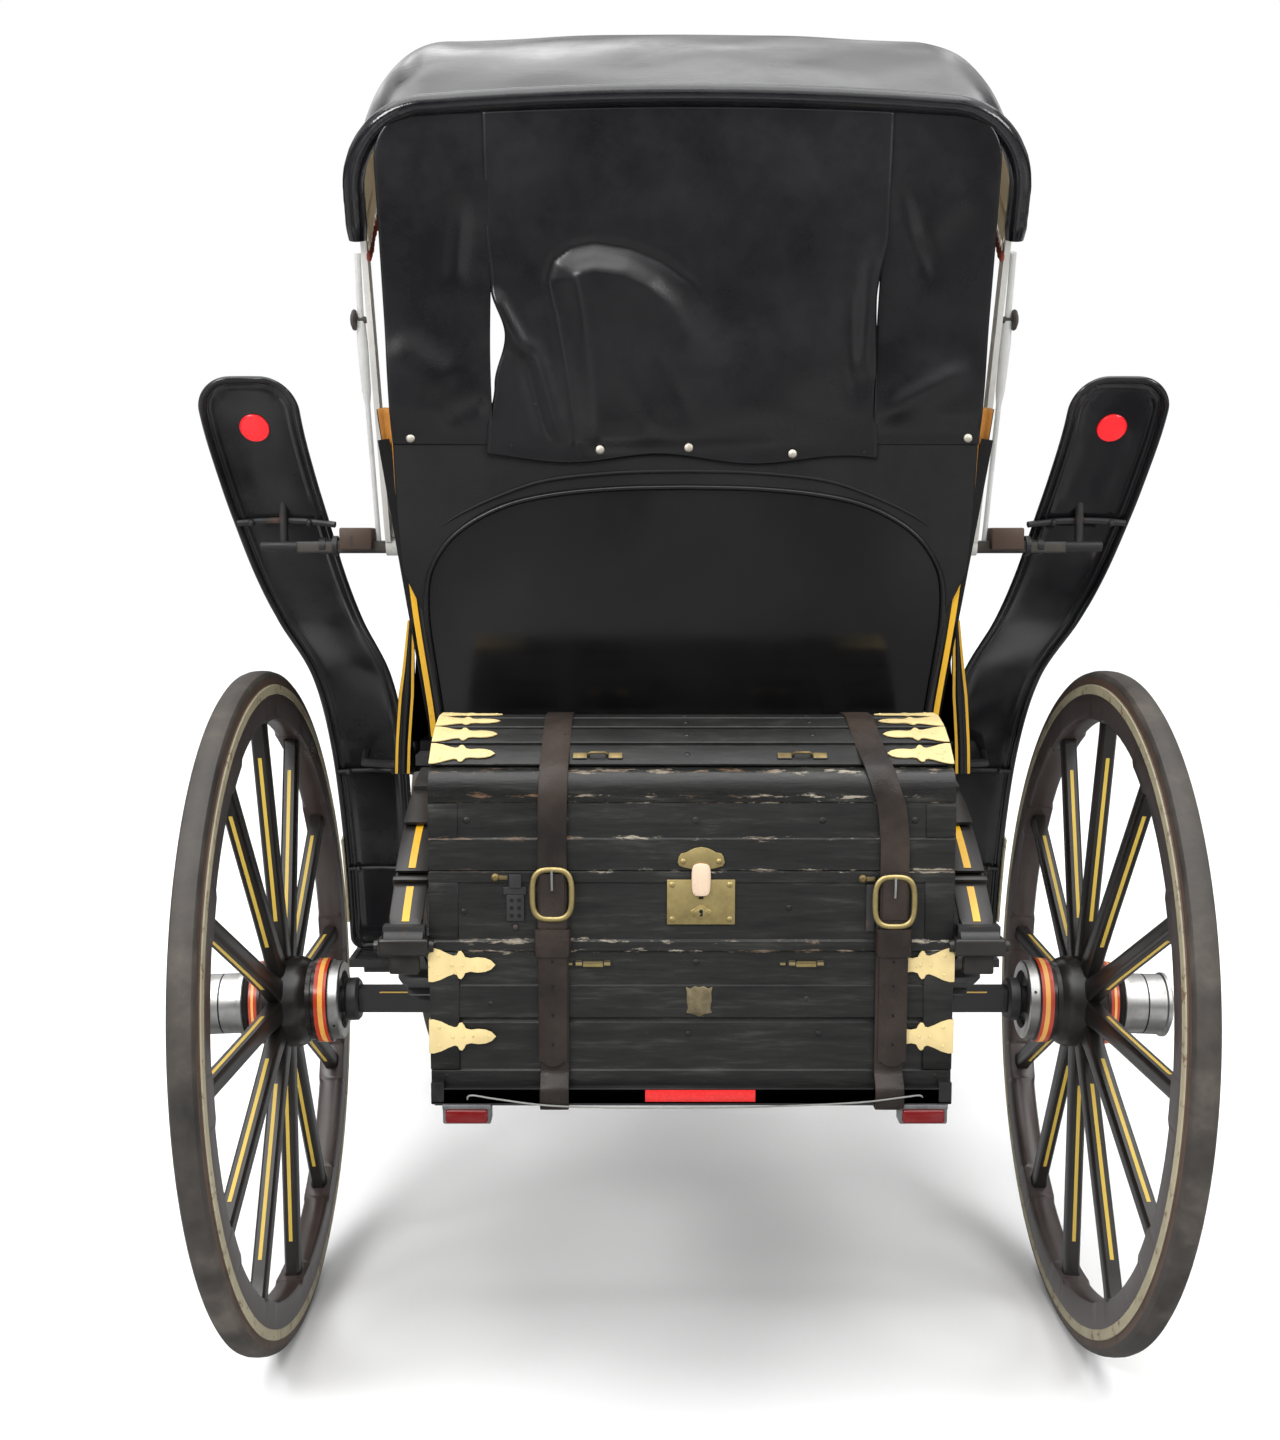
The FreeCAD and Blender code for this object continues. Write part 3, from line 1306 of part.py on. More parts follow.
hasp = newBody("Hasp")
pad(hasp, "HaspPlate", "XZ_Plane", [
    (-14, lidLow), (34, lidLow), (30, lidLow + 14), (16, lidLow + 30), (4, lidLow + 30), (-10, lidLow + 14)],
    s.trunkRear + s.faceGap, 3)
pad(hasp, "HaspTongue", "XZ_Plane", rectangle((-2, lockTop - 21), (22, lidLow + 12)), s.trunkRear + 3.2, 4)
place(hasp)
lidPlates = []
lidFitting = trunkHalf - s.strapRight - s.strapWidth / 2 - 9
for index, angle in enumerate(slatAngles[:4]):
    plateMiddle = trunkHalf - 6 - lidFitting / 2
    lidPlates.append(onDome("LidFitting%d" % index, angle, plateMiddle, lidFitting, size(34),
                            slatProud + s.faceGap, size(fittingThick)))
lidImages = [mirror(piece.Label + "Image", piece) for piece in lidPlates]
keep(group("lid_fittings", [hasp] + lidPlates + lidImages))

# hinge barrels in front of the seam, with leaves down the trunk's front wall
hinges = []
hingeRadius = 5
hingeOut = trunkFront + hingeRadius + s.faceGap
for name, low in (("Left", 31 - trunkHalf), ("Right", trunkHalf - 181)):
    barrel = rod("HingeBarrel" + name, hingeRadius, (low, hingeOut, s.trunkSeam), 60, "x")
    plate = box("HingeLeaf" + name, (low, trunkFront, s.trunkSeam - 46),
                (low + 60, trunkFront + 3, s.trunkSeam - 1))
    hinges.append(fuse("Hinge" + name, [barrel, plate]))
keep(group("trunk_hinges", hinges))

# straps: the upper halves ride on the lid with their buckles, the lower halves are fast to the rack
lowerLift = ledgeProud + s.faceGap
upperLift = lowerLift + s.strapThick + s.faceGap
lidLift = 5.5
uppers = []
lowers = []
buckles = []
for name, middle in (("Left", -s.strapLeft), ("Right", s.strapRight)):
    strap = newBody("StrapUpper" + name)
    rear = -s.trunkRear
    rows = []
    for thick in (s.strapThick, size(0)):
        over = lidLift + thick
        under = upperLift + thick
        rows.append([
            (rear - under, s.strapEnd), (rear - under, s.buckleLevel + s.buckleHalf + 2),
            (rear - over, s.trunkSeam + 30), (rear - over, s.lidShoulder + 8),
            (rear + roundOver - 2, s.domeFoot + over - 2, -70 - over),
            (trunkFront - roundOver + 2, s.domeFoot + over - 2, -domeRadius - over),
            (trunkFront + over, s.lidShoulder + 8, -70 - over), (trunkFront + over, lidLow + 2)])
    outside, inside = rows
    inside.reverse()
    home = [inside[0][:2]]
    for before, corner in zip(inside, inside[1:]):
        # an arc that leads back to a corner has the radius of the corner just left, turned round
        home.append(corner[:2] + ((-before[2],) if len(before) > 2 else ()))
    pad(strap, "StrapOver" + name, "YZ_Plane", outside + home, middle - s.strapWidth / 2, s.strapWidth)
    uppers.append(place(strap))
    left = middle - s.strapWidth / 2
    right = middle + s.strapWidth / 2
    low = box("StrapLower" + name, (left, rear - lowerLift - s.strapThick, s.railTop + 1),
              (right, rear - lowerLift, s.buckleLevel - 22))
    lowers.append(low)
    buckle = newBody("Buckle" + name)
    halfWide = s.strapWidth / 2 + 10
    halfHigh = s.buckleHalf
    depth = s.trunkRear + upperLift + s.strapThick + s.faceGap
    frame = []
    for grow in (size(0), size(-7)):
        round_ = 12 + grow / 2
        left = middle - halfWide - grow
        right = middle + halfWide + grow
        under = s.buckleLevel - halfHigh - grow
        over = s.buckleLevel + halfHigh + grow
        frame.append([
            (left + 10, under, round_), (right - 10, under), (right, under + 10, round_), (right, over - 10),
            (right - 10, over, round_), (left + 10, over), (left, over - 10, round_), (left, under + 10)])
    pad(buckle, "BuckleFrame" + name, "XZ_Plane", frame[0], depth, 5)
    pocket(buckle, "BuckleOpening" + name, "XZ_Plane", frame[1], depth + 6, 7)
    pad(buckle, "BuckleTongue" + name, "XZ_Plane", rectangle(
        (middle - 3, s.buckleLevel - halfHigh + 2), (middle + 3, s.buckleLevel + halfHigh - 2)), depth, 5)
    buckles.append(place(buckle))
keep(group("strap_uppers", uppers))
keep(group("strap_lowers", lowers))
keep(group("strap_buckles", buckles))

# ---- check and write

doc.recompute()
for thing in doc.Objects:
    if any(word in thing.State for word in ("Invalid", "Error")):
        raise RuntimeError("failed: %s %s" % (thing.Label, thing.State))
os.makedirs("parts", exist_ok=True)
for piece in nodes:
    if piece.Shape.isNull() or not piece.Shape.isValid():
        raise RuntimeError("bad shape: " + piece.Label)
    piece.Shape.exportStep("parts/%s.step" % piece.Label)
print(len(nodes), "sub-parts written")
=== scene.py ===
import json
import math
import random
import bmesh
import bpy
from mathutils import Matrix, Vector


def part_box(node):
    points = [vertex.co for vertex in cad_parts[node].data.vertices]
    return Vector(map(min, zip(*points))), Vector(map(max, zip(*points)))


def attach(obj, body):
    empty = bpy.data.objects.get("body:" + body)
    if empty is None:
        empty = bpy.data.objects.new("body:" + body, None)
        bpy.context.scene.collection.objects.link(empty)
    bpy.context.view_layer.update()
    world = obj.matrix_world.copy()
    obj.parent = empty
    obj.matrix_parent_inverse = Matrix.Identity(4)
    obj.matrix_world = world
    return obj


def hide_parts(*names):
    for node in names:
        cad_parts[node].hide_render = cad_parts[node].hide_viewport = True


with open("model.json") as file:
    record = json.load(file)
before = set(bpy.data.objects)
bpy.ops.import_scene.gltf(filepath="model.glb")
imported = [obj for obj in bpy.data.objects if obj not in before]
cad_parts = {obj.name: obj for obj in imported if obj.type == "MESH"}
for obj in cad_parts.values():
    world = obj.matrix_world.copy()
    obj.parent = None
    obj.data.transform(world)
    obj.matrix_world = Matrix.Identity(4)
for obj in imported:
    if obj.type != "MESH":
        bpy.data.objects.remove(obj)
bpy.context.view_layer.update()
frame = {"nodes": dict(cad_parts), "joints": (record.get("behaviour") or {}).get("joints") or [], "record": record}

nodes = frame["nodes"]
scene = bpy.context.scene


def middle(node):
    low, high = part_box(node)
    return (low + high) / 2


axleY = middle("rear_axle").y  # rear axle's line; the pieces' places are measured from it

# camera behind the carriage, looking slightly down
viewpoint = {"across": -0.069, "back": 2.505, "height": 1.257, "lens": 39.87, "down": 6.12}
cameraData = bpy.data.cameras.new("camera")
cameraData.lens = viewpoint["lens"]
cameraData.sensor_width = 36
camera = bpy.data.objects.new("camera", cameraData)
camera.location = (viewpoint["across"], axleY - viewpoint["back"], viewpoint["height"])
camera.rotation_euler = (math.radians(90 - viewpoint["down"]), 0, 0)
scene.collection.objects.link(camera)
scene.camera = camera


# node helpers

def newMaterial(name):
    made = bpy.data.materials.new(name)
    made.use_nodes = True
    tree = made.node_tree
    shader = tree.nodes["Principled BSDF"]
    return made, tree, shader


def link(tree, a, aOut, b, bIn):
    tree.links.new(a.outputs[aOut], b.inputs[bIn])


def objectPoint(tree, scale=(1, 1, 1)):
    coord = tree.nodes.new("ShaderNodeTexCoord")
    mapping = tree.nodes.new("ShaderNodeMapping")
    mapping.inputs["Scale"].default_value = scale
    link(tree, coord, "Object", mapping, "Vector")
    return mapping


def noise(tree, point, scale, detail=4, rough=0.55, distortion=0):
    made = tree.nodes.new("ShaderNodeTexNoise")
    made.inputs["Scale"].default_value = scale
    made.inputs["Detail"].default_value = detail
    made.inputs["Roughness"].default_value = rough
    made.inputs["Distortion"].default_value = distortion
    link(tree, point, "Vector", made, "Vector")
    return made


def ramp(tree, source, output, stops):
    made = tree.nodes.new("ShaderNodeValToRGB")
    while len(made.color_ramp.elements) < len(stops):
        made.color_ramp.elements.new(0.5)
    for element, (position, colour) in zip(made.color_ramp.elements, stops):
        element.position = position
        element.color = (*colour, 1) if len(colour) == 3 else colour
    link(tree, source, output, made, "Fac")
    return made


def spread(tree, source, output, low, high, fromLow=0, fromHigh=1):
    made = tree.nodes.new("ShaderNodeMapRange")
    made.inputs["From Min"].default_value = fromLow
    made.inputs["From Max"].default_value = fromHigh
    made.inputs["To Min"].default_value = low
    made.inputs["To Max"].default_value = high
    link(tree, source, output, made, "Value")
    return made


def bump(tree, source, output, strength, distance=0.001, below=None):
    made = tree.nodes.new("ShaderNodeBump")
    made.inputs["Strength"].default_value = strength
    made.inputs["Distance"].default_value = distance
    link(tree, source, output, made, "Height")
    if below:
        link(tree, below, "Normal", made, "Normal")
    return made


def maths(tree, operation, first, output, second=None):
    # second is a number, or another node of this kind
    made = tree.nodes.new("ShaderNodeMath")
    made.operation = operation
    link(tree, first, output, made, 0)
    if isinstance(second, float):
        made.inputs[1].default_value = second
    elif second:
        tree.links.new(second.outputs[0], made.inputs[1])
    return made


def mixColour(tree, factor, factorOut, a, b, blend="MIX"):
    # a and b are colours or nodes; the mixed colour is returned as a socket
    made = tree.nodes.new("ShaderNodeMix")
    made.data_type = "RGBA"
    made.blend_type = blend
    if factor:
        link(tree, factor, factorOut, made, "Factor")
    else:
        made.inputs["Factor"].default_value = 1
    for socket, side in ((6, a), (7, b)):
        if isinstance(side, tuple):
            made.inputs[socket].default_value = (*side, 1)
        else:
            tree.links.new(side.outputs[0], made.inputs[socket])
    return made.outputs[2]


def dress(tree, shader, tone, dull, relief, shine=0.5):
    # colour, roughness and relief of a finish
    tree.links.new(tone, shader.inputs["Base Color"])
    link(tree, dull, "Result", shader, "Roughness")
    link(tree, relief, "Normal", shader, "Normal")
    shader.inputs["Specular IOR Level"].default_value = shine


def coachPaint(name, colour, rough=0.1, dust=0.010, shine=0.45):
    made, tree, shader = newMaterial(name)
    point = objectPoint(tree)
    mottle = noise(tree, point, 3.5, 5, 0.6)
    tone = ramp(tree, mottle, "Fac", [(0.42, colour), (0.75, tuple(min(1, c + dust) for c in colour))])
    dress(tree, shader, tone.outputs[0], spread(tree, mottle, "Fac", rough, rough + 0.22, 0.35, 0.8),
          bump(tree, noise(tree, point, 60, 4, 0.6), "Fac", 0.05, 0.0006), shine)
    return made


def wornRubber(name):
    made, tree, shader = newMaterial(name)
    point = objectPoint(tree)
    patches = noise(tree, point, 9, 6, 0.65)
    tone = ramp(tree, patches, "Fac", [
        (0.3, (0.016, 0.014, 0.012)), (0.52, (0.042, 0.035, 0.029)), (0.75, (0.095, 0.080, 0.064))])
    dress(tree, shader, tone.outputs[0], spread(tree, patches, "Fac", 0.45, 0.85),
          bump(tree, noise(tree, point, 140, 5, 0.7), "Fac", 0.35, 0.0012))
    return made


def hide(name, colour, worn, rough=0.42, grainScale=420, creaseScale=14, depth=0.25, shine=0.30):
    # leather or cloth: fine grain, soft creases and worn patches
    made, tree, shader = newMaterial(name)
    point = objectPoint(tree)
    cells = tree.nodes.new("ShaderNodeTexVoronoi")
    cells.inputs["Scale"].default_value = grainScale
    link(tree, point, "Vector", cells, "Vector")
    creases = bump(tree, noise(tree, point, creaseScale, 5, 0.6, 0.6), "Fac", depth, 0.004)
    wear = noise(tree, point, 5, 6, 0.65)
    tone = ramp(tree, wear, "Fac", [(0.4, colour), (0.72, worn)])
    dress(tree, shader, tone.outputs[0], spread(tree, wear, "Fac", rough, rough + 0.25, 0.35, 0.75),
          bump(tree, cells, "Distance", depth, 0.0006, creases), shine)
    return made


def iron(name, colour=(0.02, 0.02, 0.021), rust=(0.09, 0.045, 0.025), rough=0.35):
    made, tree, shader = newMaterial(name)
    point = objectPoint(tree)
    patches = noise(tree, point, 18, 6, 0.7)
    tone = ramp(tree, patches, "Fac", [(0.62, colour), (0.76, rust)])
    dress(tree, shader, tone.outputs[0], spread(tree, patches, "Fac", rough, rough + 0.4, 0.4, 0.8),
          bump(tree, noise(tree, point, 130, 4, 0.6), "Fac", 0.25, 0.0008), 0.4)
    return made


def metal(name, colour, rough, tarnish, scale=30):
    made, tree, shader = newMaterial(name)
    point = objectPoint(tree)
    stains = noise(tree, point, scale, 6, 0.65)
    tone = ramp(tree, stains, "Fac", [(0.35, colour), (0.75, tarnish)])
    dress(tree, shader, tone.outputs[0], spread(tree, stains, "Fac", rough, rough + 0.25, 0.3, 0.75),
          bump(tree, noise(tree, point, 200, 3, 0.5), "Fac", 0.08, 0.0004))
    shader.inputs["Metallic"].default_value = 1
    return made


def paintedWood(name, colour, chip, rough=0.4, chipAt=0.68):
    made, tree, shader = newMaterial(name)
    point = objectPoint(tree)
    dirt = noise(tree, point, 6, 5, 0.6)
    base = ramp(tree, dirt, "Fac", [(0.38, colour), (0.75, tuple(c * 0.72 for c in colour))])
    mask = ramp(tree, noise(tree, point, 26, 7, 0.72), "Fac",
                [(chipAt, (0, 0, 0)), (chipAt + 0.05, (1, 1, 1))])
    grain = noise(tree, objectPoint(tree, (9, 9, 1.2)), 22, 4, 0.6)
    dress(tree, shader, mixColour(tree, mask, "Color", base, chip),
          spread(tree, dirt, "Fac", rough, rough + 0.2, 0.3, 0.8), bump(tree, grain, "Fac", 0.15, 0.0008))
    return made


def wornPaint(name, colour, under, at=0.56, rough=0.5):
    # old paint with its under layer showing in small patches
    made, tree, shader = newMaterial(name)
    point = objectPoint(tree)
    chips = noise(tree, point, 42, 7, 0.75)
    dirt = noise(tree, point, 12, 5, 0.6)
    base = ramp(tree, dirt, "Fac", [(0.35, colour), (0.7, tuple(c * 0.75 for c in colour))])
    mask = ramp(tree, chips, "Fac", [(at, (0, 0, 0)), (at + 0.06, (1, 1, 1))])
    dress(tree, shader, mixColour(tree, mask, "Color", base, under),
          spread(tree, chips, "Fac", rough, rough + 0.25), bump(tree, chips, "Fac", 0.2, 0.0008))
    return made


finishes = {
    "black_gloss": coachPaint("coachBlack", (0.003, 0.003, 0.0035), 0.10, 0.004),
    "wheel_paint": coachPaint("wheelBlack", (0.010, 0.008, 0.007), 0.24, 0.012),
    "tyre_rubber": wornRubber("tyreRubber"),
    "iron": iron("blackIron"),
    "steel": metal("hubSteel", (0.55, 0.55, 0.54), 0.28, (0.33, 0.32, 0.3)),
    "brass": metal("brass", (0.55, 0.42, 0.17), 0.35, (0.28, 0.2, 0.08)),
    "leather_black": hide("hoodLeather", (0.006, 0.006, 0.007), (0.012, 0.012, 0.014), 0.33),
    "leather_tan": hide("tanLeather", (0.42, 0.18, 0.045), (0.26, 0.1, 0.03), 0.4),
    "trunk_canvas": hide("trunkCanvas", (0.018, 0.019, 0.019), (0.045, 0.044, 0.04), 0.45, 900, 24, 0.3),
    "bow_paint": paintedWood("bowPaint", (0.62, 0.61, 0.57), (0.25, 0.2, 0.15)),
    "reflector": coachPaint("redLens", (0.62, 0.006, 0.008), 0.15, 0.0),
    "lining": hide("creamLining", (0.62, 0.58, 0.47), (0.45, 0.4, 0.3), 0.8, 700, 30, 0.15),
    "strap_leather": hide("strapLeather", (0.022, 0.017, 0.014), (0.06, 0.045, 0.035), 0.42, 600, 30, 0.3),
}

slots = {entry["node"]: entry["material_slot"] for entry in frame["record"]["subparts"]}
for name, obj in nodes.items():
    obj.data.materials.clear()
    obj.data.materials.append(finishes[slots[name]])

# mesh helpers

def newPiece(name, bm, materials, body="root", sharp=35, stands=()):
    # a finished mesh, joined to the CAD body that it rides on
    bmesh.ops.recalc_face_normals(bm, faces=bm.faces)
    for face in bm.faces:
        face.smooth = True
    mesh = bpy.data.meshes.new(name)
    bm.to_mesh(mesh)
    bm.free()
    mesh.set_sharp_from_angle(angle=math.radians(sharp))
    for material in materials:
        mesh.materials.append(material)
    obj = bpy.data.objects.new(name, mesh)
    scene.collection.objects.link(obj)
    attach(obj, body)
    if stands:
        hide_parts(*stands)
    return obj


def addModifier(obj, kind, **values):
    made = obj.modifiers.new(kind.lower(), kind)
    for key, value in values.items():
        setattr(made, key, value)
    return made


def addBlock(bm, low, high, material=0, easing=0.0, segments=2):
    made = bmesh.ops.create_cube(bm, size=1)["verts"]
    low, high = Vector(low), Vector(high)
    for vert in made:
        vert.co = Vector((v + 0.5) * (b - a) + a for v, a, b in zip(vert.co, low, high))
    edges = list({edge for vert in made for edge in vert.link_edges})
    faces = {face for vert in made for face in vert.link_faces}
    if easing:
        result = bmesh.ops.bevel(bm, geom=edges, offset=easing, segments=segments, profile=0.5,
                                 affect="EDGES", material=-1)
        faces |= set(result["faces"])
    for face in faces:
        if face.is_valid:
            face.material_index = material


def addSlab(bm, acrosses, aheads, levels, material=0, easing=0.0, segments=2):
    # a block between two places across, ahead and up
    addBlock(bm, *(place(*corner) for corner in zip(acrosses, aheads, levels)), material, easing, segments)


def addSideBlock(bm, side, inner, outer, aheads, levels, material=0, easing=0.0):
    # the same between two distances from the middle, on the given side
    addSlab(bm, sorted((side * inner, side * outer)), aheads, levels, material, easing)


def addTurnedBlock(bm, matrix, low, high, material=0, easing=0.0, segments=2):
    known = set(bm.verts)
    addBlock(bm, low, high, material, easing, segments)
    bmesh.ops.transform(bm, matrix=matrix, verts=[vert for vert in bm.verts if vert not in known])


def addStud(bm, spot, radius, flat=(1, 0.5, 1), sides=10, rows=6):
    # a domed head, flattened along one axis; spot is a point or a placing matrix
    matrix = spot if isinstance(spot, Matrix) else Matrix.Translation(spot)
    bmesh.ops.create_uvsphere(bm, u_segments=sides, v_segments=rows, radius=radius,
                              matrix=matrix @ Matrix.Diagonal((*flat, 1)))


def addDisc(bm, spot, radius, sides=14, material=0):
    # a flat round hole or screw that faces back
    facing = Matrix.Rotation(math.radians(90), 4, "X")
    matrix = spot if isinstance(spot, Matrix) else Matrix.Translation(spot) @ facing
    made = bmesh.ops.create_circle(bm, cap_ends=True, segments=sides, radius=radius, matrix=matrix)["verts"]
    for face in {face for vert in made for face in vert.link_faces}:
        face.material_index = material


def addPrism(bm, outline, depth, material=0, matrix=None, easing=0.0):
    # a plate: an outline in the XZ plane that grows toward -Y
    verts = [bm.verts.new((x, 0, z)) for x, z in outline]
    face = bm.faces.new(verts)
    grown = bmesh.ops.extrude_face_region(bm, geom=[face])["geom"]
    front = [item for item in grown if isinstance(item, bmesh.types.BMVert)]
    for vert in front:
        vert.co.y -= depth
    every = verts + front
    faces = {item for vert in every for item in vert.link_faces}
    if easing:
        rim = [edge for edge in {e for vert in front for e in vert.link_edges}
               if all(vert in front for vert in edge.verts)]
        result = bmesh.ops.bevel(bm, geom=rim, offset=easing, segments=2, profile=0.5, affect="EDGES",
                                 material=-1)
        faces = {item for item in faces if item.is_valid} | set(result["faces"])
        every = list({vert for item in faces for vert in item.verts})
    for item in faces:
        if item.is_valid:
            item.material_index = material
    if matrix:
        bmesh.ops.transform(bm, matrix=matrix, verts=every)
    return every


def addSpin(bm, profile, material, steps=96, matrix=None):
    # an open profile of (along X, radius) turned about X
    verts = [bm.verts.new((x, 0, r)) for x, r in profile]
    edges = [bm.edges.new(pair) for pair in zip(verts, verts[1:])]
    known = set(bm.faces)
    bmesh.ops.spin(bm, geom=verts + edges, axis=(1, 0, 0), cent=(0, 0, 0), steps=steps,
                   angle=math.tau, use_merge=True)
    made = [face for face in bm.faces if face not in known]
    for face in made:
        face.material_index = material
    if matrix:
        bmesh.ops.transform(bm, matrix=matrix, verts=list({vert for face in made for vert in face.verts}))


def addRings(bm, rings, material=0, caps=True, closed=True, wrap=False):
    # a skin over rings of points, each ring with as many points as the next
    rows = [[bm.verts.new(point) for point in ring] for ring in rings]
    if wrap:
        rows.append(rows[0])
    count = len(rows[0])
    last = count if closed else count - 1
    faces = []
    for row, following in zip(rows, rows[1:]):
        for index in range(last):
            after = (index + 1) % count
            faces.append(bm.faces.new((row[index], row[after], following[after], following[index])))
    if caps and closed and not wrap:
        faces.append(bm.faces.new(list(reversed(rows[0]))))
        faces.append(bm.faces.new(rows[-1]))
    for face in faces:
        face.material_index = material
    return rows, faces


def addSkin(bm, rows, material=0):
    return addRings(bm, rows, material, caps=False, closed=False)


def addTube(bm, points, radius, sides=12, material=0, up=Vector((0, 0, 1))):
    # a round bar through the points, with mitred corners
    rings = []
    count = len(points)
    radii = radius if isinstance(radius, (list, tuple)) else [radius] * count
    for index, point in enumerate(points):
        before = (point - points[max(index - 1, 0)])
        after = (points[min(index + 1, count - 1)] - point)
        along = (before.normalized() + after.normalized()).normalized()
        side = along.cross(up).normalized()
        top = side.cross(along)
        rings.append([point + (side * math.cos(a) + top * math.sin(a)) * radii[index]
                      for a in (math.tau * step / sides for step in range(sides))])
    return addRings(bm, rings, material)


def curve(points, steps):
    # a smooth line through the points
    made = []
    ends = [points[0] * 2 - points[1]] + list(points) + [points[-1] * 2 - points[-2]]
    for a, b, c, d in zip(ends, ends[1:], ends[2:], ends[3:]):
        for step in range(steps):
            t = step / steps
            made.append(0.5 * ((b * 2) + (c - a) * t + (a * 2 - b * 5 + c * 4 - d) * t * t
                               + (b * 3 - a - c * 3 + d) * t ** 3))
    made.append(points[-1].copy())
    return made


def place(across=0, ahead=0, level=0):
    # a point given by its distance ahead of the rear axle
    return Vector((across, axleY + ahead, level))


# wheels

wheelParts = {
    "rim": {"depth": 0.048, "half": 0.022, "channel": 0.0145, "tyre": 0.030, "tyreHalf": 0.019},
    "spoke": {"count": 12, "root": 0.060, "half": 0.0178, "thick": 0.0134},
    "stripe": {"start": 0.135, "end": 0.058, "half": 0.0029, "proud": 0.0004},
    "dish": 0.014,
}
# hub bands outward along the axle: finish and profile of (along, radius)
hubBands = [
    ("dark", [(-0.088, 0.022), (-0.088, 0.046)]),
    ("steel", [(-0.088, 0.046), (-0.097, 0.046), (-0.097, 0.0595), (-0.095, 0.062), (-0.0805, 0.062)]),
    ("black", [(-0.0805, 0.062), (-0.0805, 0.0645), (-0.0785, 0.0665)]),
    ("red", [(-0.0785, 0.0665), (-0.0735, 0.0668)]),
    ("gold", [(-0.0735, 0.0668), (-0.066, 0.0668)]),
    ("red", [(-0.066, 0.0668), (-0.0595, 0.0666)]),
    ("black", [(-0.0595, 0.0666), (-0.054, 0.0655), (-0.052, 0.0625), (-0.045, 0.0625), (-0.038, 0.068),
               (-0.028, 0.072), (0.020, 0.0725), (0.026, 0.066), (0.030, 0.066)]),
    ("red", [(0.030, 0.066), (0.035, 0.066)]),
    ("gold", [(0.035, 0.066), (0.039, 0.0655)]),
    ("red", [(0.039, 0.0655), (0.043, 0.065)]),
    ("black", [(0.043, 0.065), (0.046, 0.060), (0.049, 0.062), (0.052, 0.058), (0.055, 0.060),
               (0.059, 0.052)]),
    ("steel", [(0.059, 0.052), (0.0655, 0.052), (0.067, 0.048), (0.094, 0.0478)]),
    ("dark", [(0.094, 0.0478), (0.0945, 0.0468), (0.096, 0.0468), (0.0965, 0.0478)]),
    ("steel", [(0.0965, 0.0478), (0.124, 0.048), (0.126, 0.051), (0.131, 0.051), (0.136, 0.042),
               (0.137, 0.0)]),
]
wheelFinish = {
    "black": finishes["wheel_paint"],
    "edge": coachPaint("wheelEdge", (0.030, 0.019, 0.016), 0.26, 0.035),
    "yellow": coachPaint("lineYellow", (0.50, 0.34, 0.04), 0.3, 0.02),
    "cream": wornPaint("channelCream", (0.36, 0.32, 0.21), (0.16, 0.10, 0.06)),
    "rust": wornPaint("tyreWall", (0.085, 0.05, 0.034), (0.04, 0.032, 0.026)),
    "rubber": finishes["tyre_rubber"],
    "steel": finishes["steel"],
    "dark": iron("hubDark", (0.012, 0.012, 0.012), (0.03, 0.02, 0.015)),
    "red": coachPaint("bandRed", (0.42, 0.035, 0.012), 0.2, 0.03),
    "gold": coachPaint("bandGold", (0.72, 0.36, 0.07), 0.25, 0.03),
}
finishNames = list(wheelFinish)


def spokeRing(radius, half, thick, offset):
    # half is across the wheel's plane of travel, thick along the axle
    corners = ((0.66, 1), (0.86, 0.84), (0.97, 0.6), (1, 0.3), (1, -0.3), (0.97, -0.6), (0.86, -0.84),
               (0.66, -1))
    ring = [(offset + thick * x, half * y, radius) for x, y in corners]
    return ring + [(offset - thick * x, -half * y, radius) for x, y in corners]


def felloeRing(rim, dish, inner, seat, angle, count):
    # eased along its inner corners, but left square where a spoke enters
    spacing = math.tau / count
    away = abs((angle + spacing / 2) % spacing - spacing / 2) * inner
    ease = min(1.0, max(0.0, (away - 0.029) / 0.009))
    chamfer = 0.0014 + 0.0085 * ease * ease * (3 - 2 * ease)
    half = rim["half"]
    rise = inner + 0.0016 * (1 - ease) - 0.0016
    section = [(-half, seat), (-half, rise + chamfer), (-half + chamfer * 0.35, rise + chamfer * 0.35),
               (-half + chamfer, rise), (half - chamfer, rise),
               (half - chamfer * 0.35, rise + chamfer * 0.35), (half, rise + chamfer), (half, seat)]
    turn = Matrix.Rotation(-angle, 4, "X")
    return [turn @ Vector((dish + x, 0, r)) for x, r in section]


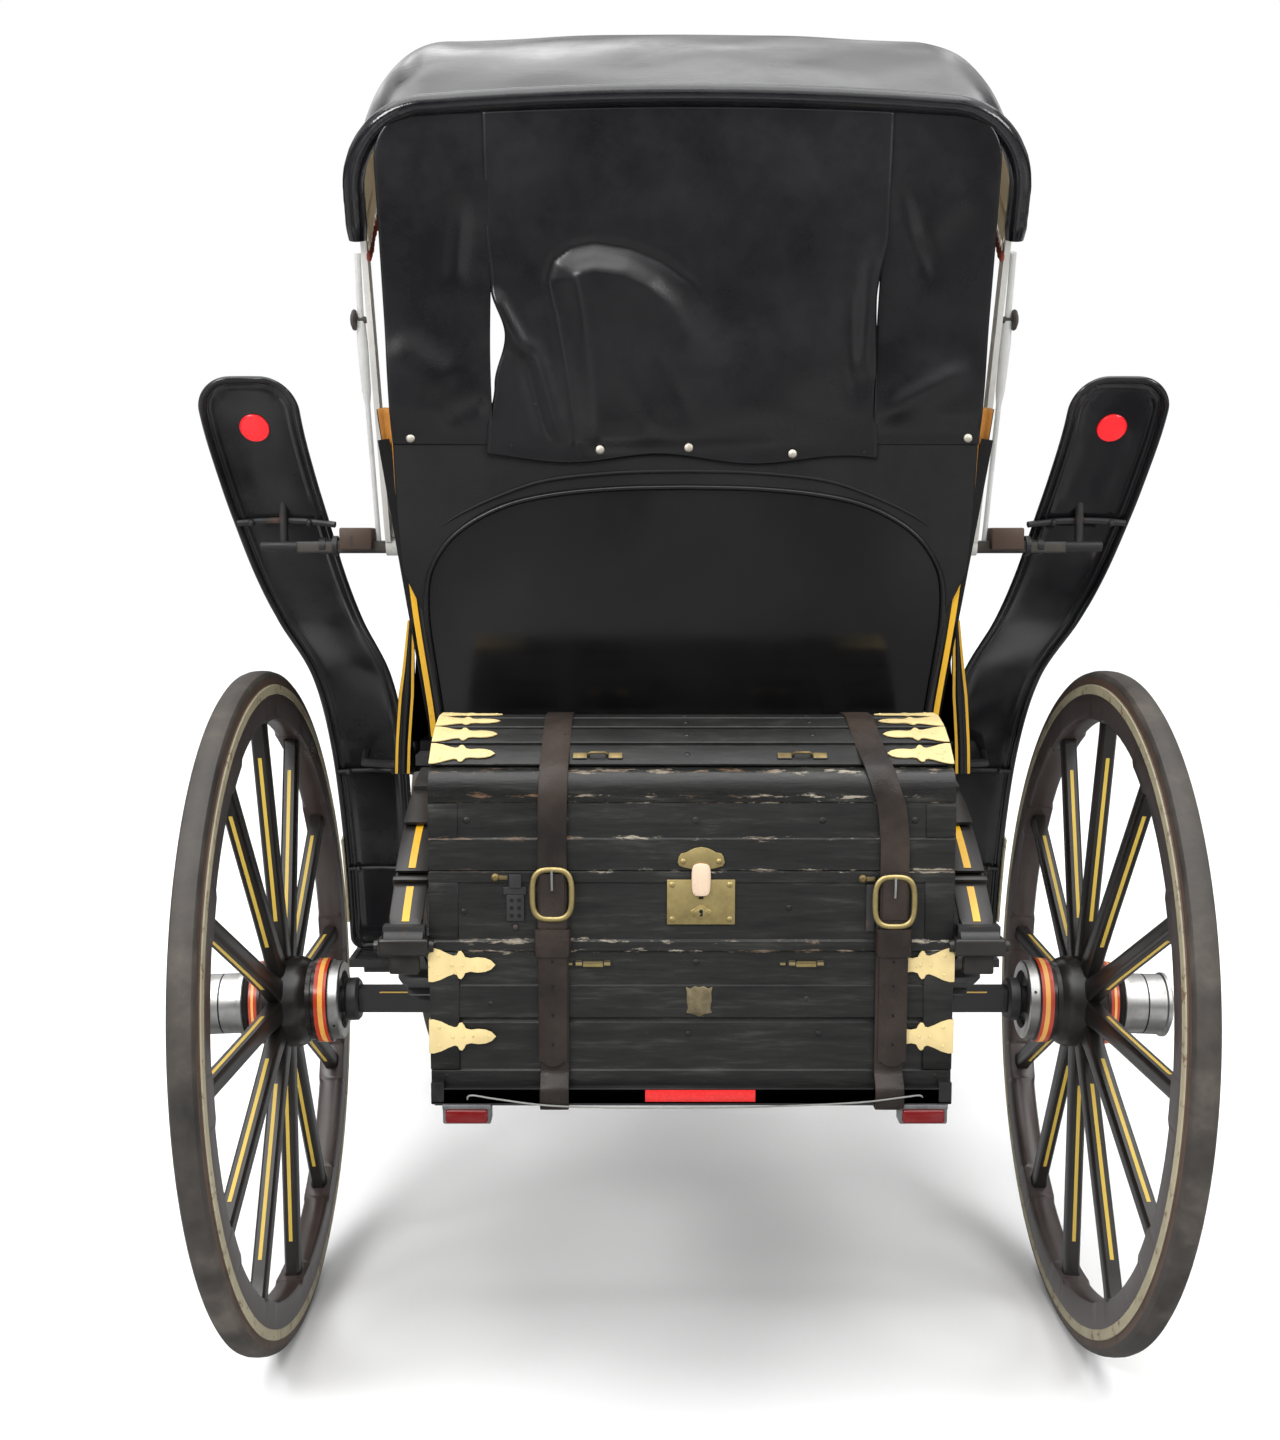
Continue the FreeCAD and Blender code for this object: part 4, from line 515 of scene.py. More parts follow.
def buildWheel(end, side):
    joint = next(item for item in frame["joints"] if item["name"] == "spin_%s_%s" % (end, side))
    hub = Vector(joint["pos_m"])
    outward = Vector(joint["axis"]) * math.copysign(1, hub.x)
    sideways = Vector((0, math.copysign(1, hub.x), 0))
    turn = Matrix((outward, sideways, outward.cross(sideways))).transposed().to_4x4()
    matrix = Matrix.Translation(hub) @ turn
    low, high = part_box("tyre_%s_%s" % (end, side))
    radius = (high.y - low.y) / 2
    rim, spoke, stripe, dish = (wheelParts[key] for key in ("rim", "spoke", "stripe", "dish"))
    outer = radius - rim["tyre"]
    inner = outer - rim["depth"]
    half = rim["half"]
    bm = bmesh.new()
    index = finishNames.index
    seat = outer - 0.0085
    spacing = 360 / spoke["count"]
    steps = (-15, -11, -8.2, -6.6, -5.4, -4.8, -4.2, -3.6, -2, 0, 2, 3.6, 4.2, 4.8, 5.4, 6.6, 8.2, 11)
    rings = [felloeRing(rim, dish, inner, seat, math.radians(number * spacing + step), spoke["count"])
             for number in range(spoke["count"]) for step in steps]
    addRings(bm, rings, index("edge"), wrap=True, closed=False)
    for sign in (-1, 1):
        face = dish + sign * half
        wall = dish + sign * rim["tyreHalf"]
        channel = seat + rim["channel"]
        addSpin(bm, [(face, seat), (face + sign * 0.0008, seat + 0.001), (face + sign * 0.0008, channel),
                     (face - sign * 0.001, channel + 0.001)], index("cream"), 144)
        addSpin(bm, [(face - sign * 0.001, channel + 0.001), (wall, channel + 0.002),
                     (wall, radius - 0.012)],
                index("rust"), 144)
    crown = [(dish + rim["tyreHalf"] * x, radius - drop) for x, drop in (
        (-1, 0.012), (-0.96, 0.007), (-0.8, 0.003), (-0.45, 0.0006), (0, 0.0), (0.45, 0.0006), (0.8, 0.003),
        (0.96, 0.007), (1, 0.012))]
    addSpin(bm, crown, index("rubber"), 144)
    for finish, profile in hubBands:
        addSpin(bm, profile, index(finish), 64)
    stations = ((0.0, 1.05, 1.0), (0.07, 1.0, 1.0), (0.16, 0.86, 0.98), (0.35, 0.77, 0.96),
                (0.9, 0.71, 0.94), (0.955, 0.71, 0.94), (1.02, 0.85, 1.0))
    reach = inner - spoke["root"]
    for number in range(spoke["count"]):
        around = Matrix.Rotation(math.tau * number / spoke["count"], 4, "X")
        rings = [[around @ Vector(point) for point in spokeRing(
            spoke["root"] + reach * part, spoke["half"] * wide, spoke["thick"] * deep, dish * part)]
            for part, wide, deep in stations]
        addRings(bm, rings, index("black"))
        # a painted line down the middle of each broad side
        first = (stripe["start"] - spoke["root"]) / reach
        last = 1 - stripe["end"] / reach
        cuts = [first] + [part for part, wide, deep in stations if first < part < last] + [last]
        for sign in (-1, 1):
            line = []
            for part in cuts:
                before, after = next(pair for pair in zip(stations, stations[1:])
                                     if pair[0][0] <= part <= pair[1][0])
                share = (part - before[0]) / (after[0] - before[0])
                wide = spoke["half"] * (before[1] + (after[1] - before[1]) * share) + stripe["proud"]
                line.append([around @ Vector((dish * part + x, sign * wide, spoke["root"] + reach * part))
                             for x in (-stripe["half"], stripe["half"])])
            addSkin(bm, line, index("yellow"))
    for angle in (64, 244):
        screw = Matrix.Rotation(math.radians(angle), 4, "X") @ Matrix.Translation((-0.0885, 0, 0.0622))
        addDisc(bm, screw, 0.0024, 12, index("dark"))
    bmesh.ops.transform(bm, matrix=matrix, verts=bm.verts)
    names = ["%s_%s_%s" % (kind, end, side) for kind in ("wheel", "tyre", "hub_metal")]
    newPiece("wheelDressed%s%s" % (end.title(), side.title()), bm, list(wheelFinish.values()),
             "%s_wheel_%s" % (end, side), 32, names)


for end in ("rear", "front"):
    for side in ("left", "right"):
        buildWheel(end, side)
print("wheels built")

# trunk

trunk = {"half": 0.351, "rear": -0.410, "front": -0.075, "floor": 0.535, "domeFoot": 0.965, "crown": 1.018}
rear, front, trunkHalf = trunk["rear"], trunk["front"], trunk["half"]
endBoard = (0.312, trunkHalf + 0.0006)  # boards at the ends of the rear face: inner and outer distance


def trunkPaint(name, levels, gloss=0.42):
    # black paint over canvas, rubbed through along the edges at the given levels
    made, tree, shader = newMaterial(name)
    point = objectPoint(tree)
    weave = tree.nodes.new("ShaderNodeTexWave")
    weave.bands_direction = "Z"
    weave.inputs["Scale"].default_value = 240
    weave.inputs["Distortion"].default_value = 1.5
    link(tree, point, "Vector", weave, "Vector")
    cloud = noise(tree, point, 4, 6, 0.6)
    streak = noise(tree, objectPoint(tree, (1, 1, 9)), 9, 7, 0.7)
    tone = ramp(tree, streak, "Fac", [
        (0.3, (0.005, 0.0055, 0.005)), (0.55, (0.012, 0.0125, 0.0115)), (0.75, (0.036, 0.035, 0.031))])
    split = tree.nodes.new("ShaderNodeSeparateXYZ")
    link(tree, point, "Vector", split, "Vector")
    worn, output = noise(tree, objectPoint(tree, (0.35, 1, 1.5)), 75, 8, 0.75), "Fac"
    for level in levels:
        away = maths(tree, "ABSOLUTE", maths(tree, "SUBTRACT", split, "Z", level), "Value")
        worn = maths(tree, "ADD", worn, output, spread(tree, away, "Value", 0.17, 0, 0.0008, 0.007))
        output = "Value"
    mask = ramp(tree, worn, "Value", [(0.69, (0, 0, 0)), (0.76, (1, 1, 1))])
    rubbed = ramp(tree, cloud, "Fac", [(0.4, (0.10, 0.06, 0.035)), (0.6, (0.28, 0.25, 0.2))])
    dress(tree, shader, mixColour(tree, mask, "Color", tone, rubbed),
          spread(tree, cloud, "Fac", gloss - 0.12, gloss + 0.2, 0.3, 0.7),
          bump(tree, weave, "Fac", 0.12, 0.0004, bump(tree, streak, "Fac", 0.35, 0.0025)), 0.32)
    return made


canvas = trunkPaint("trunkPaint", (0.830, 0.874, 0.735, 0.721))
rollPaint = trunkPaint("trunkEdge", (0.921, 0.931, 0.962), 0.20)
fittingBrass = metal("wornBrass", (0.54, 0.43, 0.19), 0.42, (0.30, 0.24, 0.11), 40)
paleFitting = wornPaint("paleFitting", (0.64, 0.50, 0.23), (0.30, 0.17, 0.06), 0.60, 0.42)
dullBrass = metal("dullBrass", (0.30, 0.23, 0.10), 0.5, (0.12, 0.09, 0.05), 40)
darkIron = finishes["iron"]


def addCrossSection(bm, outline, low, high, material=0, stations=1):
    # a closed (ahead, level) outline carried across from low to high
    rings = []
    for step in range(stations + 1):
        across = low + (high - low) * step / stations
        rings.append([place(across, ahead, level) for ahead, level in outline])
    return addRings(bm, rings, material)


# steps in the rear face from the floor up: level and how far it stands back or out
baseOutline = [(front, trunk["floor"])] + [(rear - out, level) for level, out in (
    (trunk["floor"], 0.0022), (0.556, 0.0022), (0.5575, 0), (0.622, 0), (0.6235, -0.002), (0.6275, -0.002),
    (0.6295, 0.0016), (0.673, 0.0016), (0.6745, 0.0004), (0.7195, 0.0004), (0.7215, 0.0028),
    (0.734, 0.0028), (0.7365, 0.0), (0.813, 0.0), (0.8145, 0.0018), (0.8292, 0.0018))]
baseOutline.append((front, 0.8292))
bm = bmesh.new()
addCrossSection(bm, baseOutline, -trunkHalf, trunkHalf, 0, 2)
for side in (-1, 1):
    addSideBlock(bm, side, *endBoard, (rear - 0.0035, front + 0.01), (0.5575, 0.7195), 0, 0.001)
    addSideBlock(bm, side, *endBoard, (rear - 0.0014, front + 0.01), (0.7365, 0.828), 0, 0.001)
trunkBase = newPiece("trunkBaseShell", bm, [canvas, rollPaint], "root", 30, ["trunk_base"])
addModifier(trunkBase, "BEVEL", width=0.0009, segments=2, limit_method="ANGLE",
            angle_limit=math.radians(25))

# lid: two flat boards, a rounded edge and a slatted dome
middleAhead = (rear + front) / 2
halfDepth = (front - rear) / 2
domeHalf = halfDepth - 0.026
domeRise = trunk["crown"] - trunk["domeFoot"]
domeRadius = (domeHalf ** 2 + domeRise ** 2) / (2 * domeRise)
lidOutline = [(rear - 0.0012, 0.8306), (rear - 0.0012, 0.8725), (rear + 0.0004, 0.8745),
              (rear + 0.0004, 0.9195), (rear + 0.0008, 0.921), (rear - 0.0012, 0.9235)]
edgeSteps = 8
for step in range(edgeSteps + 1):
    angle = math.pi / 2 * step / edgeSteps
    lidOutline.append((rear + 0.0255 - 0.0262 * math.cos(angle), 0.934 + 0.0312 * math.sin(angle)))
lidOutline.append((rear + 0.029, 0.9625))
for step in range(1, 24):
    angle = math.asin(domeHalf / domeRadius) * (step / 12 - 1)
    lidOutline.append((middleAhead + domeRadius * math.sin(angle),
                       trunk["crown"] - domeRadius + domeRadius * math.cos(angle)))
lidOutline += [(2 * middleAhead - ahead, level) for ahead, level in reversed(lidOutline[:7 + edgeSteps])]
bm = bmesh.new()
rows, faces = addCrossSection(bm, lidOutline, -trunkHalf, trunkHalf, 0, 2)
for face in faces:
    level = face.calc_center_median().z
    if level > 0.921 and len(face.verts) == 4:
        face.material_index = 1
slatAngles = [35 * (step - 3) / 3 for step in range(7)]


def onDome(angle, lift):
    # the middle of a slat, and the turn that lays a flat piece there
    tilt = math.radians(angle)
    reach = domeRadius + lift
    domeLevel = trunk["crown"] - domeRadius
    spot = place(0, middleAhead + reach * math.sin(tilt), domeLevel + reach * math.cos(tilt))
    return Matrix.Translation(spot) @ Matrix.Rotation(-tilt, 4, "X")


for angle in slatAngles:
    addTurnedBlock(bm, onDome(angle, 0.0), (-0.345, -0.0195, -0.003), (0.345, 0.0195, 0.0024), 1, 0.0022, 3)
for side in (-1, 1):
    addSideBlock(bm, side, *endBoard, (rear - 0.0014, rear + 0.02), (0.8755, 0.9195), 0, 0.0008)
for across in (-0.300, -0.168, 0.005, 0.174, 0.297):
    addStud(bm, place(across, rear + 0.0016, 0.898), 0.0052, (1, 0.6, 1), 14, 8)
trunkLid = newPiece("trunkLidShell", bm, [canvas, rollPaint], "lid", 30, ["trunk_lid"])
addModifier(trunkLid, "BEVEL", width=0.0008, segments=2, limit_method="ANGLE", angle_limit=math.radians(28))

# small nails on the slats and on the base's boards
bm = bmesh.new()
for angle in slatAngles[:4]:
    for across in (-0.172, -0.005, 0.168, 0.300):
        addStud(bm, onDome(angle, 0.0018) @ Matrix.Translation((across, 0, 0)), 0.0042, (1, 1, 0.55))
newPiece("slatNails", bm, [rollPaint], "lid", 30)
bm = bmesh.new()
for across, level in ((0.006, 0.706), (-0.004, 0.607), (0.172, 0.607), (-0.27, 0.648), (0.33, 0.549),
                      (-0.33, 0.549), (0.155, 0.655), (-0.305, 0.775), (0.13, 0.78)):
    addStud(bm, place(across, rear - 0.0006, level), 0.0042, (1, 0.55, 1))
newPiece("baseNails", bm, [canvas], "root", 30)

# corner fittings with flared roots, side lobes and rounded tips: (along, half-height)
fittingShape = [(0.0, 0.0232), (0.006, 0.0235), (0.016, 0.0205), (0.026, 0.0155), (0.034, 0.0125),
                (0.038, 0.0135), (0.0405, 0.0185), (0.044, 0.0195), (0.047, 0.0160), (0.0495, 0.0110),
                (0.056, 0.0092), (0.066, 0.0105), (0.076, 0.0095), (0.084, 0.0062), (0.090, 0.0)]


def fittingOutline(side, narrow=1.0, reach=1.0):
    edge = trunkHalf + 0.0018
    upper = [(side * (edge - along * reach), deep * narrow) for along, deep in fittingShape]
    lower = [(x, -z) for x, z in reversed(upper[:-1])]
    return upper + lower


bm = bmesh.new()
for side in (-1, 1):
    for level in (0.7025, 0.604):
        addPrism(bm, fittingOutline(side), 0.0018, 0, Matrix.Translation(place(0, rear - 0.0034, level)),
                 0.0007)
        addSideBlock(bm, side, trunkHalf, trunkHalf + 0.0022, (rear - 0.0040, rear + 0.030),
                     (level - 0.023, level + 0.023), 0, 0.0006)
        for along, up in ((0.012, 0.013), (0.012, -0.013), (0.030, 0), (0.044, 0.0), (0.079, 0)):
            addStud(bm, place(side * (trunkHalf - along), rear - 0.0052, level + up), 0.0026)
newPiece("cornerFittings", bm, [paleFitting], "root", 30, ["base_fittings"])
bm = bmesh.new()
for side in (-1, 1):
    for angle in slatAngles[:4]:
        turn = onDome(angle, 0.0036) @ Matrix.Rotation(math.radians(-90), 4, "X")
        addPrism(bm, fittingOutline(side, 0.86, 0.98), 0.0016, 0, turn, 0.0006)
        for along, up in ((0.012, 0.010), (0.012, -0.010), (0.044, 0.0), (0.078, 0)):
            head = onDome(angle, 0.0052) @ Matrix.Translation((side * (trunkHalf - along), up, 0))
            addStud(bm, head, 0.0024, (1, 1, 0.5))
newPiece("lidFittings", bm, [paleFitting], "lid", 30)

# lock: plate, keyhole boss, fluted hasp plate and its tongue
lock = {"low": 0.7575, "high": 0.8185, "left": -0.033, "right": 0.058}
lockMiddle = (lock["left"] + lock["right"]) / 2
bm = bmesh.new()
addSlab(bm, (lock["left"], lock["right"]), (rear - 0.0032, rear + 0.001), (lock["low"], lock["high"]), 0,
        0.0008)
for across in (lock["left"] + 0.007, lock["right"] - 0.007):
    for level in (lock["low"] + 0.007, lock["high"] - 0.007):
        addStud(bm, place(across, rear - 0.0028, level), 0.0042, (1, 0.45, 1), 12)
boss = []
for step in range(36):
    angle = math.tau * step / 36
    grow = 1 + 0.16 * math.cos(4 * angle)
    boss.append((0.0125 * grow * math.cos(angle), 0.0088 * grow * math.sin(angle)))
addPrism(bm, boss, 0.0016, 0, Matrix.Translation(place(lockMiddle, rear - 0.0030, 0.7745)), 0.0007)
addPrism(bm, [(x * 0.62, z * 0.62) for x, z in boss], 0.0012, 0,
         Matrix.Translation(place(lockMiddle, rear - 0.0044, 0.7745)), 0.0005)
# the keyhole and the slot above it are flat near-black pieces: painted shade standing for the holes
hole = [(0.0026 * math.cos(a), 0.0026 * math.sin(a) + 0.0014) for a in
        (math.radians(-60 + 300 * step / 12 + 30) for step in range(13))]
keyhole = [(x, z) for x, z in hole] + [(-0.0021, -0.0052), (0.0021, -0.0052)]
addPrism(bm, keyhole, 0.0004, 1, Matrix.Translation(place(lockMiddle, rear - 0.0056, 0.7745)))
addSlab(bm, (lockMiddle - 0.003, lockMiddle + 0.003), (rear - 0.0042, rear - 0.003), (0.7925, 0.7955), 1)
# near-black iron used as painted shade inside holes: keyhole, slot, catch plate holes and curtain eyelets
holeShade = iron("keyhole", (0.004, 0.004, 0.004), (0.01, 0.008, 0.006), 0.7)
newPiece("lockPlate", bm, [fittingBrass, holeShade], "root", 30)

bm = bmesh.new()
haspSide = [(-0.030, 0.0105), (-0.027, 0.0150), (-0.020, 0.0165), (-0.014, 0.0200), (-0.008, 0.0225),
             (0, 0.0240)]
upper = haspSide + [(-x, z) for x, z in reversed(haspSide[:-1])]
lower = [(0.0315, 0.003), (0.029, -0.0020), (0.021, -0.0045), (0.013, -0.0060), (-0.013, -0.0060),
         (-0.021, -0.0045), (-0.029, -0.0020), (-0.0315, 0.003)]
addPrism(bm, upper + lower, 0.0018, 0, Matrix.Translation(place(lockMiddle, rear - 0.0022, 0.839)), 0.0007)
for across in (-0.024, 0.024):
    addStud(bm, place(lockMiddle + across, rear - 0.0042, 0.8435), 0.0038, sides=12)
newPiece("haspPlate", bm, [fittingBrass], "lid", 30, ["lid_fittings"])
bm = bmesh.new()
tongue = []
for level, half, out in ((0.8420, 0.0115, 0.0042), (0.8300, 0.0138, 0.0060), (0.8150, 0.0135, 0.0068),
                         (0.8030, 0.0128, 0.0068), (0.7985, 0.0105, 0.0058), (0.7968, 0.0070, 0.0044)):
    tongue.append([place(lockMiddle + x * half, rear - 0.0032 - out * lift, level) for x, lift in (
        (-1, 0), (-0.95, 0.55), (-0.7, 0.9), (0, 1), (0.7, 0.9), (0.95, 0.55), (1, 0))])
addRings(bm, tongue, 0)
tonguePale = wornPaint("tonguePale", (0.66, 0.50, 0.36), (0.4, 0.28, 0.16), 0.62, 0.45)
haspTongue = newPiece("haspTongue", bm, [tonguePale], "lid", 40)
addModifier(haspTongue, "SUBSURF", levels=2, render_levels=2)

# black catch plate with its six holes, drawn as near-black discs of painted shade, and the catches' brass knobs
bm = bmesh.new()
addSlab(bm, (-0.2475, -0.2235), (rear - 0.0035, rear + 0.001), (0.762, 0.798), 0, 0.0012)
addSlab(bm, (-0.2515, -0.2205), (rear - 0.0030, rear + 0.001), (0.798, 0.809), 0, 0.001)
addSlab(bm, (-0.2440, -0.2270), (rear - 0.0046, rear - 0.001), (0.807, 0.826), 0, 0.0014)
for across in (-0.2405, -0.2305):
    for level in (0.7695, 0.780, 0.7905):
        addDisc(bm, place(across, rear - 0.0037, level), 0.0028, material=1)
addStud(bm, place(-0.2355, rear - 0.002, 0.7535), 0.0042, (1, 0.6, 1), 12, 8)
addSlab(bm, (0.2330, 0.2450), (rear - 0.0035, rear + 0.001), (0.748, 0.812), 0, 0.0012)
newPiece("catchPlates", bm, [darkIron, holeShade], "root", 30)
bm = bmesh.new()
for across, level in ((-0.262, 0.8215), (0.228, 0.8195)):
    addStud(bm, place(across, rear - 0.0035, level), 0.0058, (1, 0.7, 1), 16, 10)
    addSlab(bm, (across + 0.004, across + 0.017), (rear - 0.0042, rear - 0.0012),
            (level - 0.0035, level + 0.0035), 1, 0.001)
    addDisc(bm, place(across, rear - 0.0078, level), 0.0026)
newPiece("catchKnobs", bm, [dullBrass, darkIron], "root", 30)

# brass-lined slots in the base and small looped staples on the first and last slats
bm = bmesh.new()
for across in (-0.132, 0.154):
    addSlab(bm, (across - 0.0135, across + 0.0135), (rear - 0.0036, rear + 0.001), (0.6995, 0.7050), 0,
            0.0005)
    for side in (-1, 1):
        addSlab(bm, (across + side * 0.019 - 0.0055, across + side * 0.019 + 0.0055),
                (rear - 0.0046, rear + 0.001), (0.7005, 0.7075), 1, 0.0014)
    addSlab(bm, (across - 0.0135, across + 0.0135), (rear - 0.0050, rear - 0.001), (0.7050, 0.7072), 1,
            0.0006)
    addSlab(bm, (across - 0.036, across - 0.027), (rear - 0.0030, rear + 0.001), (0.7010, 0.7055), 1, 0.001)
newPiece("brassSlots", bm, [fittingBrass, darkIron], "root", 30)
bm = bmesh.new()
for angle, shift in ((slatAngles[0], 0.0), (slatAngles[-1], 0.006)):
    for across in (-0.126 + shift, 0.150 - shift):
        turn = onDome(angle, 0.0024)
        line = [turn @ Vector((across + x, -0.004, z)) for x, z in (
            (-0.0125, 0), (-0.0120, 0.0050), (-0.0090, 0.0072), (0.0090, 0.0072), (0.0120, 0.0050),
            (0.0125, 0))]
        addTube(bm, line, 0.0017, 8, 0)
        for side in (-1, 1):
            wing = across + side * 0.024
            addTurnedBlock(bm, turn, (wing - 0.010, -0.010, 0), (wing + 0.010, 0.002, 0.0022), 1, 0.001)
newPiece("slatStaples", bm, [dullBrass, darkIron], "lid", 30)

# blank shield plate
bm = bmesh.new()
shield = [(-0.018, 0.019), (-0.0125, 0.0165), (-0.006, 0.0200), (0, 0.0185), (0.006, 0.0200),
          (0.0125, 0.0165), (0.018, 0.019), (0.0165, 0.010), (0.0170, 0.0), (0.0150, -0.0105),
          (0.0175, -0.0170), (0.008, -0.0185), (0, -0.0225), (-0.008, -0.0185), (-0.0175, -0.0170),
          (-0.0150, -0.0105), (-0.0170, 0.0), (-0.0165, 0.010)]
addPrism(bm, shield, 0.0016, 0, Matrix.Translation(place(0.0105, rear - 0.0012, 0.653)), 0.0007)
shieldTin = metal("shieldTin", (0.34, 0.29, 0.18), 0.5, (0.16, 0.12, 0.07), 60)
newPiece("shieldPlate", bm, [shieldTin], "root", 30)

# straps

straps = {"width": 0.039, "thick": 0.0032, "left": -0.186, "right": 0.270, "end": 0.564}
strapHide = hide("strapHide", (0.010, 0.0075, 0.0065), (0.040, 0.027, 0.020), 0.36, 500, 26, 0.35)
# near-black iron for the strap's holes: painted shade standing for the openings
strapHoleShade = iron("strapHoleShade", (0.003, 0.003, 0.003), (0.006, 0.005, 0.004), 0.8)


def addBelt(bm, points, width, thick, tip=False):
    # a flat strap with eased edges along the points, its flat side facing off the trunk
    rings = []
    count = len(points)
    for index, point in enumerate(points):
        along = points[min(index + 1, count - 1)] - points[max(index - 1, 0)]
        along = Vector((0, along.y, along.z)).normalized()
        off = Vector((0, -along.z, along.y))
        half = width / 2
        if tip and index < 7:
            run = (points[index] - points[0]).length
            half *= math.sqrt(max(0.02, 1 - (1 - min(1, run / (width * 0.5))) ** 2))
        section = ((-1, 0.2), (-0.985, 0.75), (-0.93, 1), (0, 1.06), (0.93, 1), (0.985, 0.75), (1, 0.2),
                   (0.93, 0), (0, 0), (-0.93, 0))
        rings.append([point + Vector((half * x, 0, 0)) + off * (thick * z) for x, z in section])
    addRings(bm, rings)


def strapLine(across, lean, rows, steps=4):
    # lean moves the strap across toward the trunk's middle as it climbs over the dome
    points = []
    for ahead, level in rows:
        drift = lean * max(0.0, min(1.0, (level - 0.90) / 0.10))
        points.append(place(across - drift, ahead, level))
    return curve(points, steps)


for side, across, lean in (("Left", straps["left"], -0.003), ("Right", straps["right"], 0.030)):
    off = rear - 0.0072
    bm = bmesh.new()
    upperRows = [(off - 0.0006, straps["end"]), (off, 0.5680), (off, 0.5725), (off, 0.5780), (off, 0.585),
                 (off - 0.0004, 0.60), (off, 0.64), (off - 0.0012, 0.69), (off - 0.0015, 0.735),
                 (off, 0.775), (off - 0.0005, 0.80), (rear - 0.0058, 0.83), (rear - 0.0035, 0.87),
                 (rear - 0.0028, 0.915), (rear - 0.0012, 0.938), (rear + 0.009, 0.961),
                 (rear + 0.026, 0.9735), (rear + 0.060, 0.9900), (rear + 0.100, 1.0090),
                 (rear + 0.134, 1.0185), (middleAhead, 1.0208), (middleAhead + 0.04, 1.0180),
                 (front - 0.10, 1.0080), (front - 0.06, 0.9895), (front - 0.026, 0.9715),
                 (front - 0.008, 0.9595), (front + 0.0015, 0.94), (front + 0.003, 0.90),
                 (front + 0.003, 0.834)]
    addBelt(bm, strapLine(across, lean, upperRows), straps["width"], straps["thick"], tip=True)
    # holes along the strap drawn as near-black discs: painted shade
    for level in (0.595, 0.635, 0.675, 0.7085, 0.7895):
        addDisc(bm, place(across, off - straps["thick"] * 1.06 - 0.0021, level), 0.0019, 12, 1)
    # thinned fold of the strap round the buckle's bar, and the loop that holds the end
    addBelt(bm, [place(across, off - 0.0026, level) for level in (0.766, 0.775, 0.79, 0.806, 0.818, 0.828)],
            straps["width"] * 0.86, 0.0030)
    loop = []
    halfLoop = straps["width"] / 2 + 0.0045
    for x, y in ((-1, 0), (-1.0, -0.55), (-0.93, -0.9), (-0.85, -1), (0, -1.06), (0.85, -1), (0.93, -0.9),
                 (1.0, -0.55), (1, 0)):
        loop.append((across + x * halfLoop, off + 0.005 + y * 0.0118))
    rings = []
    for level, grow in ((0.7155, 0.97), (0.7165, 1.0), (0.7345, 1.02), (0.7520, 1.0), (0.7530, 0.97)):
        rings.append([Vector((across + (x - across) * grow, axleY + y, level)) for x, y in loop])
    addSkin(bm, rings)
    newPiece("strapUpper" + side, bm, [strapHide, strapHoleShade], "lid", 40,
             ["strap_uppers"] if side == "Left" else ())

    bm = bmesh.new()
    low = rear - 0.0034
    lowerAcross = across - (0.004 if side == "Right" else -0.002)
    lowerRows = [(low, 0.775), (low, 0.72), (low, 0.66), (low - 0.0006, 0.61), (low, 0.56),
                 (rear - 0.0125, 0.545), (rear - 0.0205, 0.536), (rear - 0.0212, 0.524),
                 (rear - 0.0200, 0.5125), (rear - 0.013, 0.5095), (rear + 0.006, 0.5098)]
    addBelt(bm, list(reversed(strapLine(lowerAcross, 0, lowerRows))), straps["width"], straps["thick"])
    newPiece("strapLower" + side, bm, [strapHide], "root", 40,
             ["strap_lowers"] if side == "Left" else ())

    # buckle: a rounded frame with a bar, and the bright prong over it
    bm = bmesh.new()
    level = 0.800 if side == "Left" else 0.790
    spot = place(across, off - 0.0052, level)
    rings = []
    for step in range(48):
        angle = math.tau * step / 48
        c, s = math.cos(angle), math.sin(angle)
        x = math.copysign(abs(c) ** 0.62, c)
        z = math.copysign(abs(s) ** 0.62, s)
        out = Vector((x, 0, z)).normalized()
        centre = spot + Vector((x * 0.0262, 0, z * 0.0335))
        rings.append([centre + out * (0.0038 * math.cos(a)) + Vector((0, -0.0026 * math.sin(a), 0))
                      for a in (math.tau * k / 10 for k in range(10))])
    rings.append(rings[0])
    addRings(bm, rings, 0, caps=False)
    bmesh.ops.remove_doubles(bm, verts=bm.verts, dist=0.00001)
    addTube(bm, [spot + Vector((0, -0.001, 0.006)), spot + Vector((0, -0.0035, 0.018)),
                 spot + Vector((0, -0.0042, 0.0335))],
            0.0019, 8, 1, Vector((1, 0, 0)))
    newPiece("strapBuckle" + side, bm, [fittingBrass, finishes["steel"]], "lid", 45,
             ["strap_buckles"] if side == "Left" else ())
print("trunk and straps built")

# rack, lamps and wire

rack = {"rear": -0.428, "half": 0.350, "low": 0.514, "high": 0.541}
bm = bmesh.new()
addSlab(bm, (-rack["half"], rack["half"]), (rack["rear"], rack["rear"] + 0.014),
        (rack["low"], rack["high"] - 0.004), 0, 0.0018)
addSlab(bm, (-rack["half"], rack["half"]), (rack["rear"], rack["rear"] + 0.30),
        (rack["low"] + 0.0005, rack["low"] + 0.0075), 0, 0.0015)
for side in (-1, 1):
    addSideBlock(bm, side, 0.332, rack["half"], (rack["rear"] - 0.0006, rack["rear"] + 0.022),
                 (rack["low"] + 0.003, rack["high"] + 0.004), 0, 0.002)
rackPaint = coachPaint("rackBlack", (0.006, 0.006, 0.0065), 0.3, 0.012)
newPiece("rackRail", bm, [rackPaint], "root", 30)
lensRed = coachPaint("lensRed", (0.12, 0.002, 0.003), 0.12, 0.02)
tape, tree, shader = newMaterial("redTape")
cells = tree.nodes.new("ShaderNodeTexVoronoi")
cells.inputs["Scale"].default_value = 320
link(tree, objectPoint(tree), "Vector", cells, "Vector")
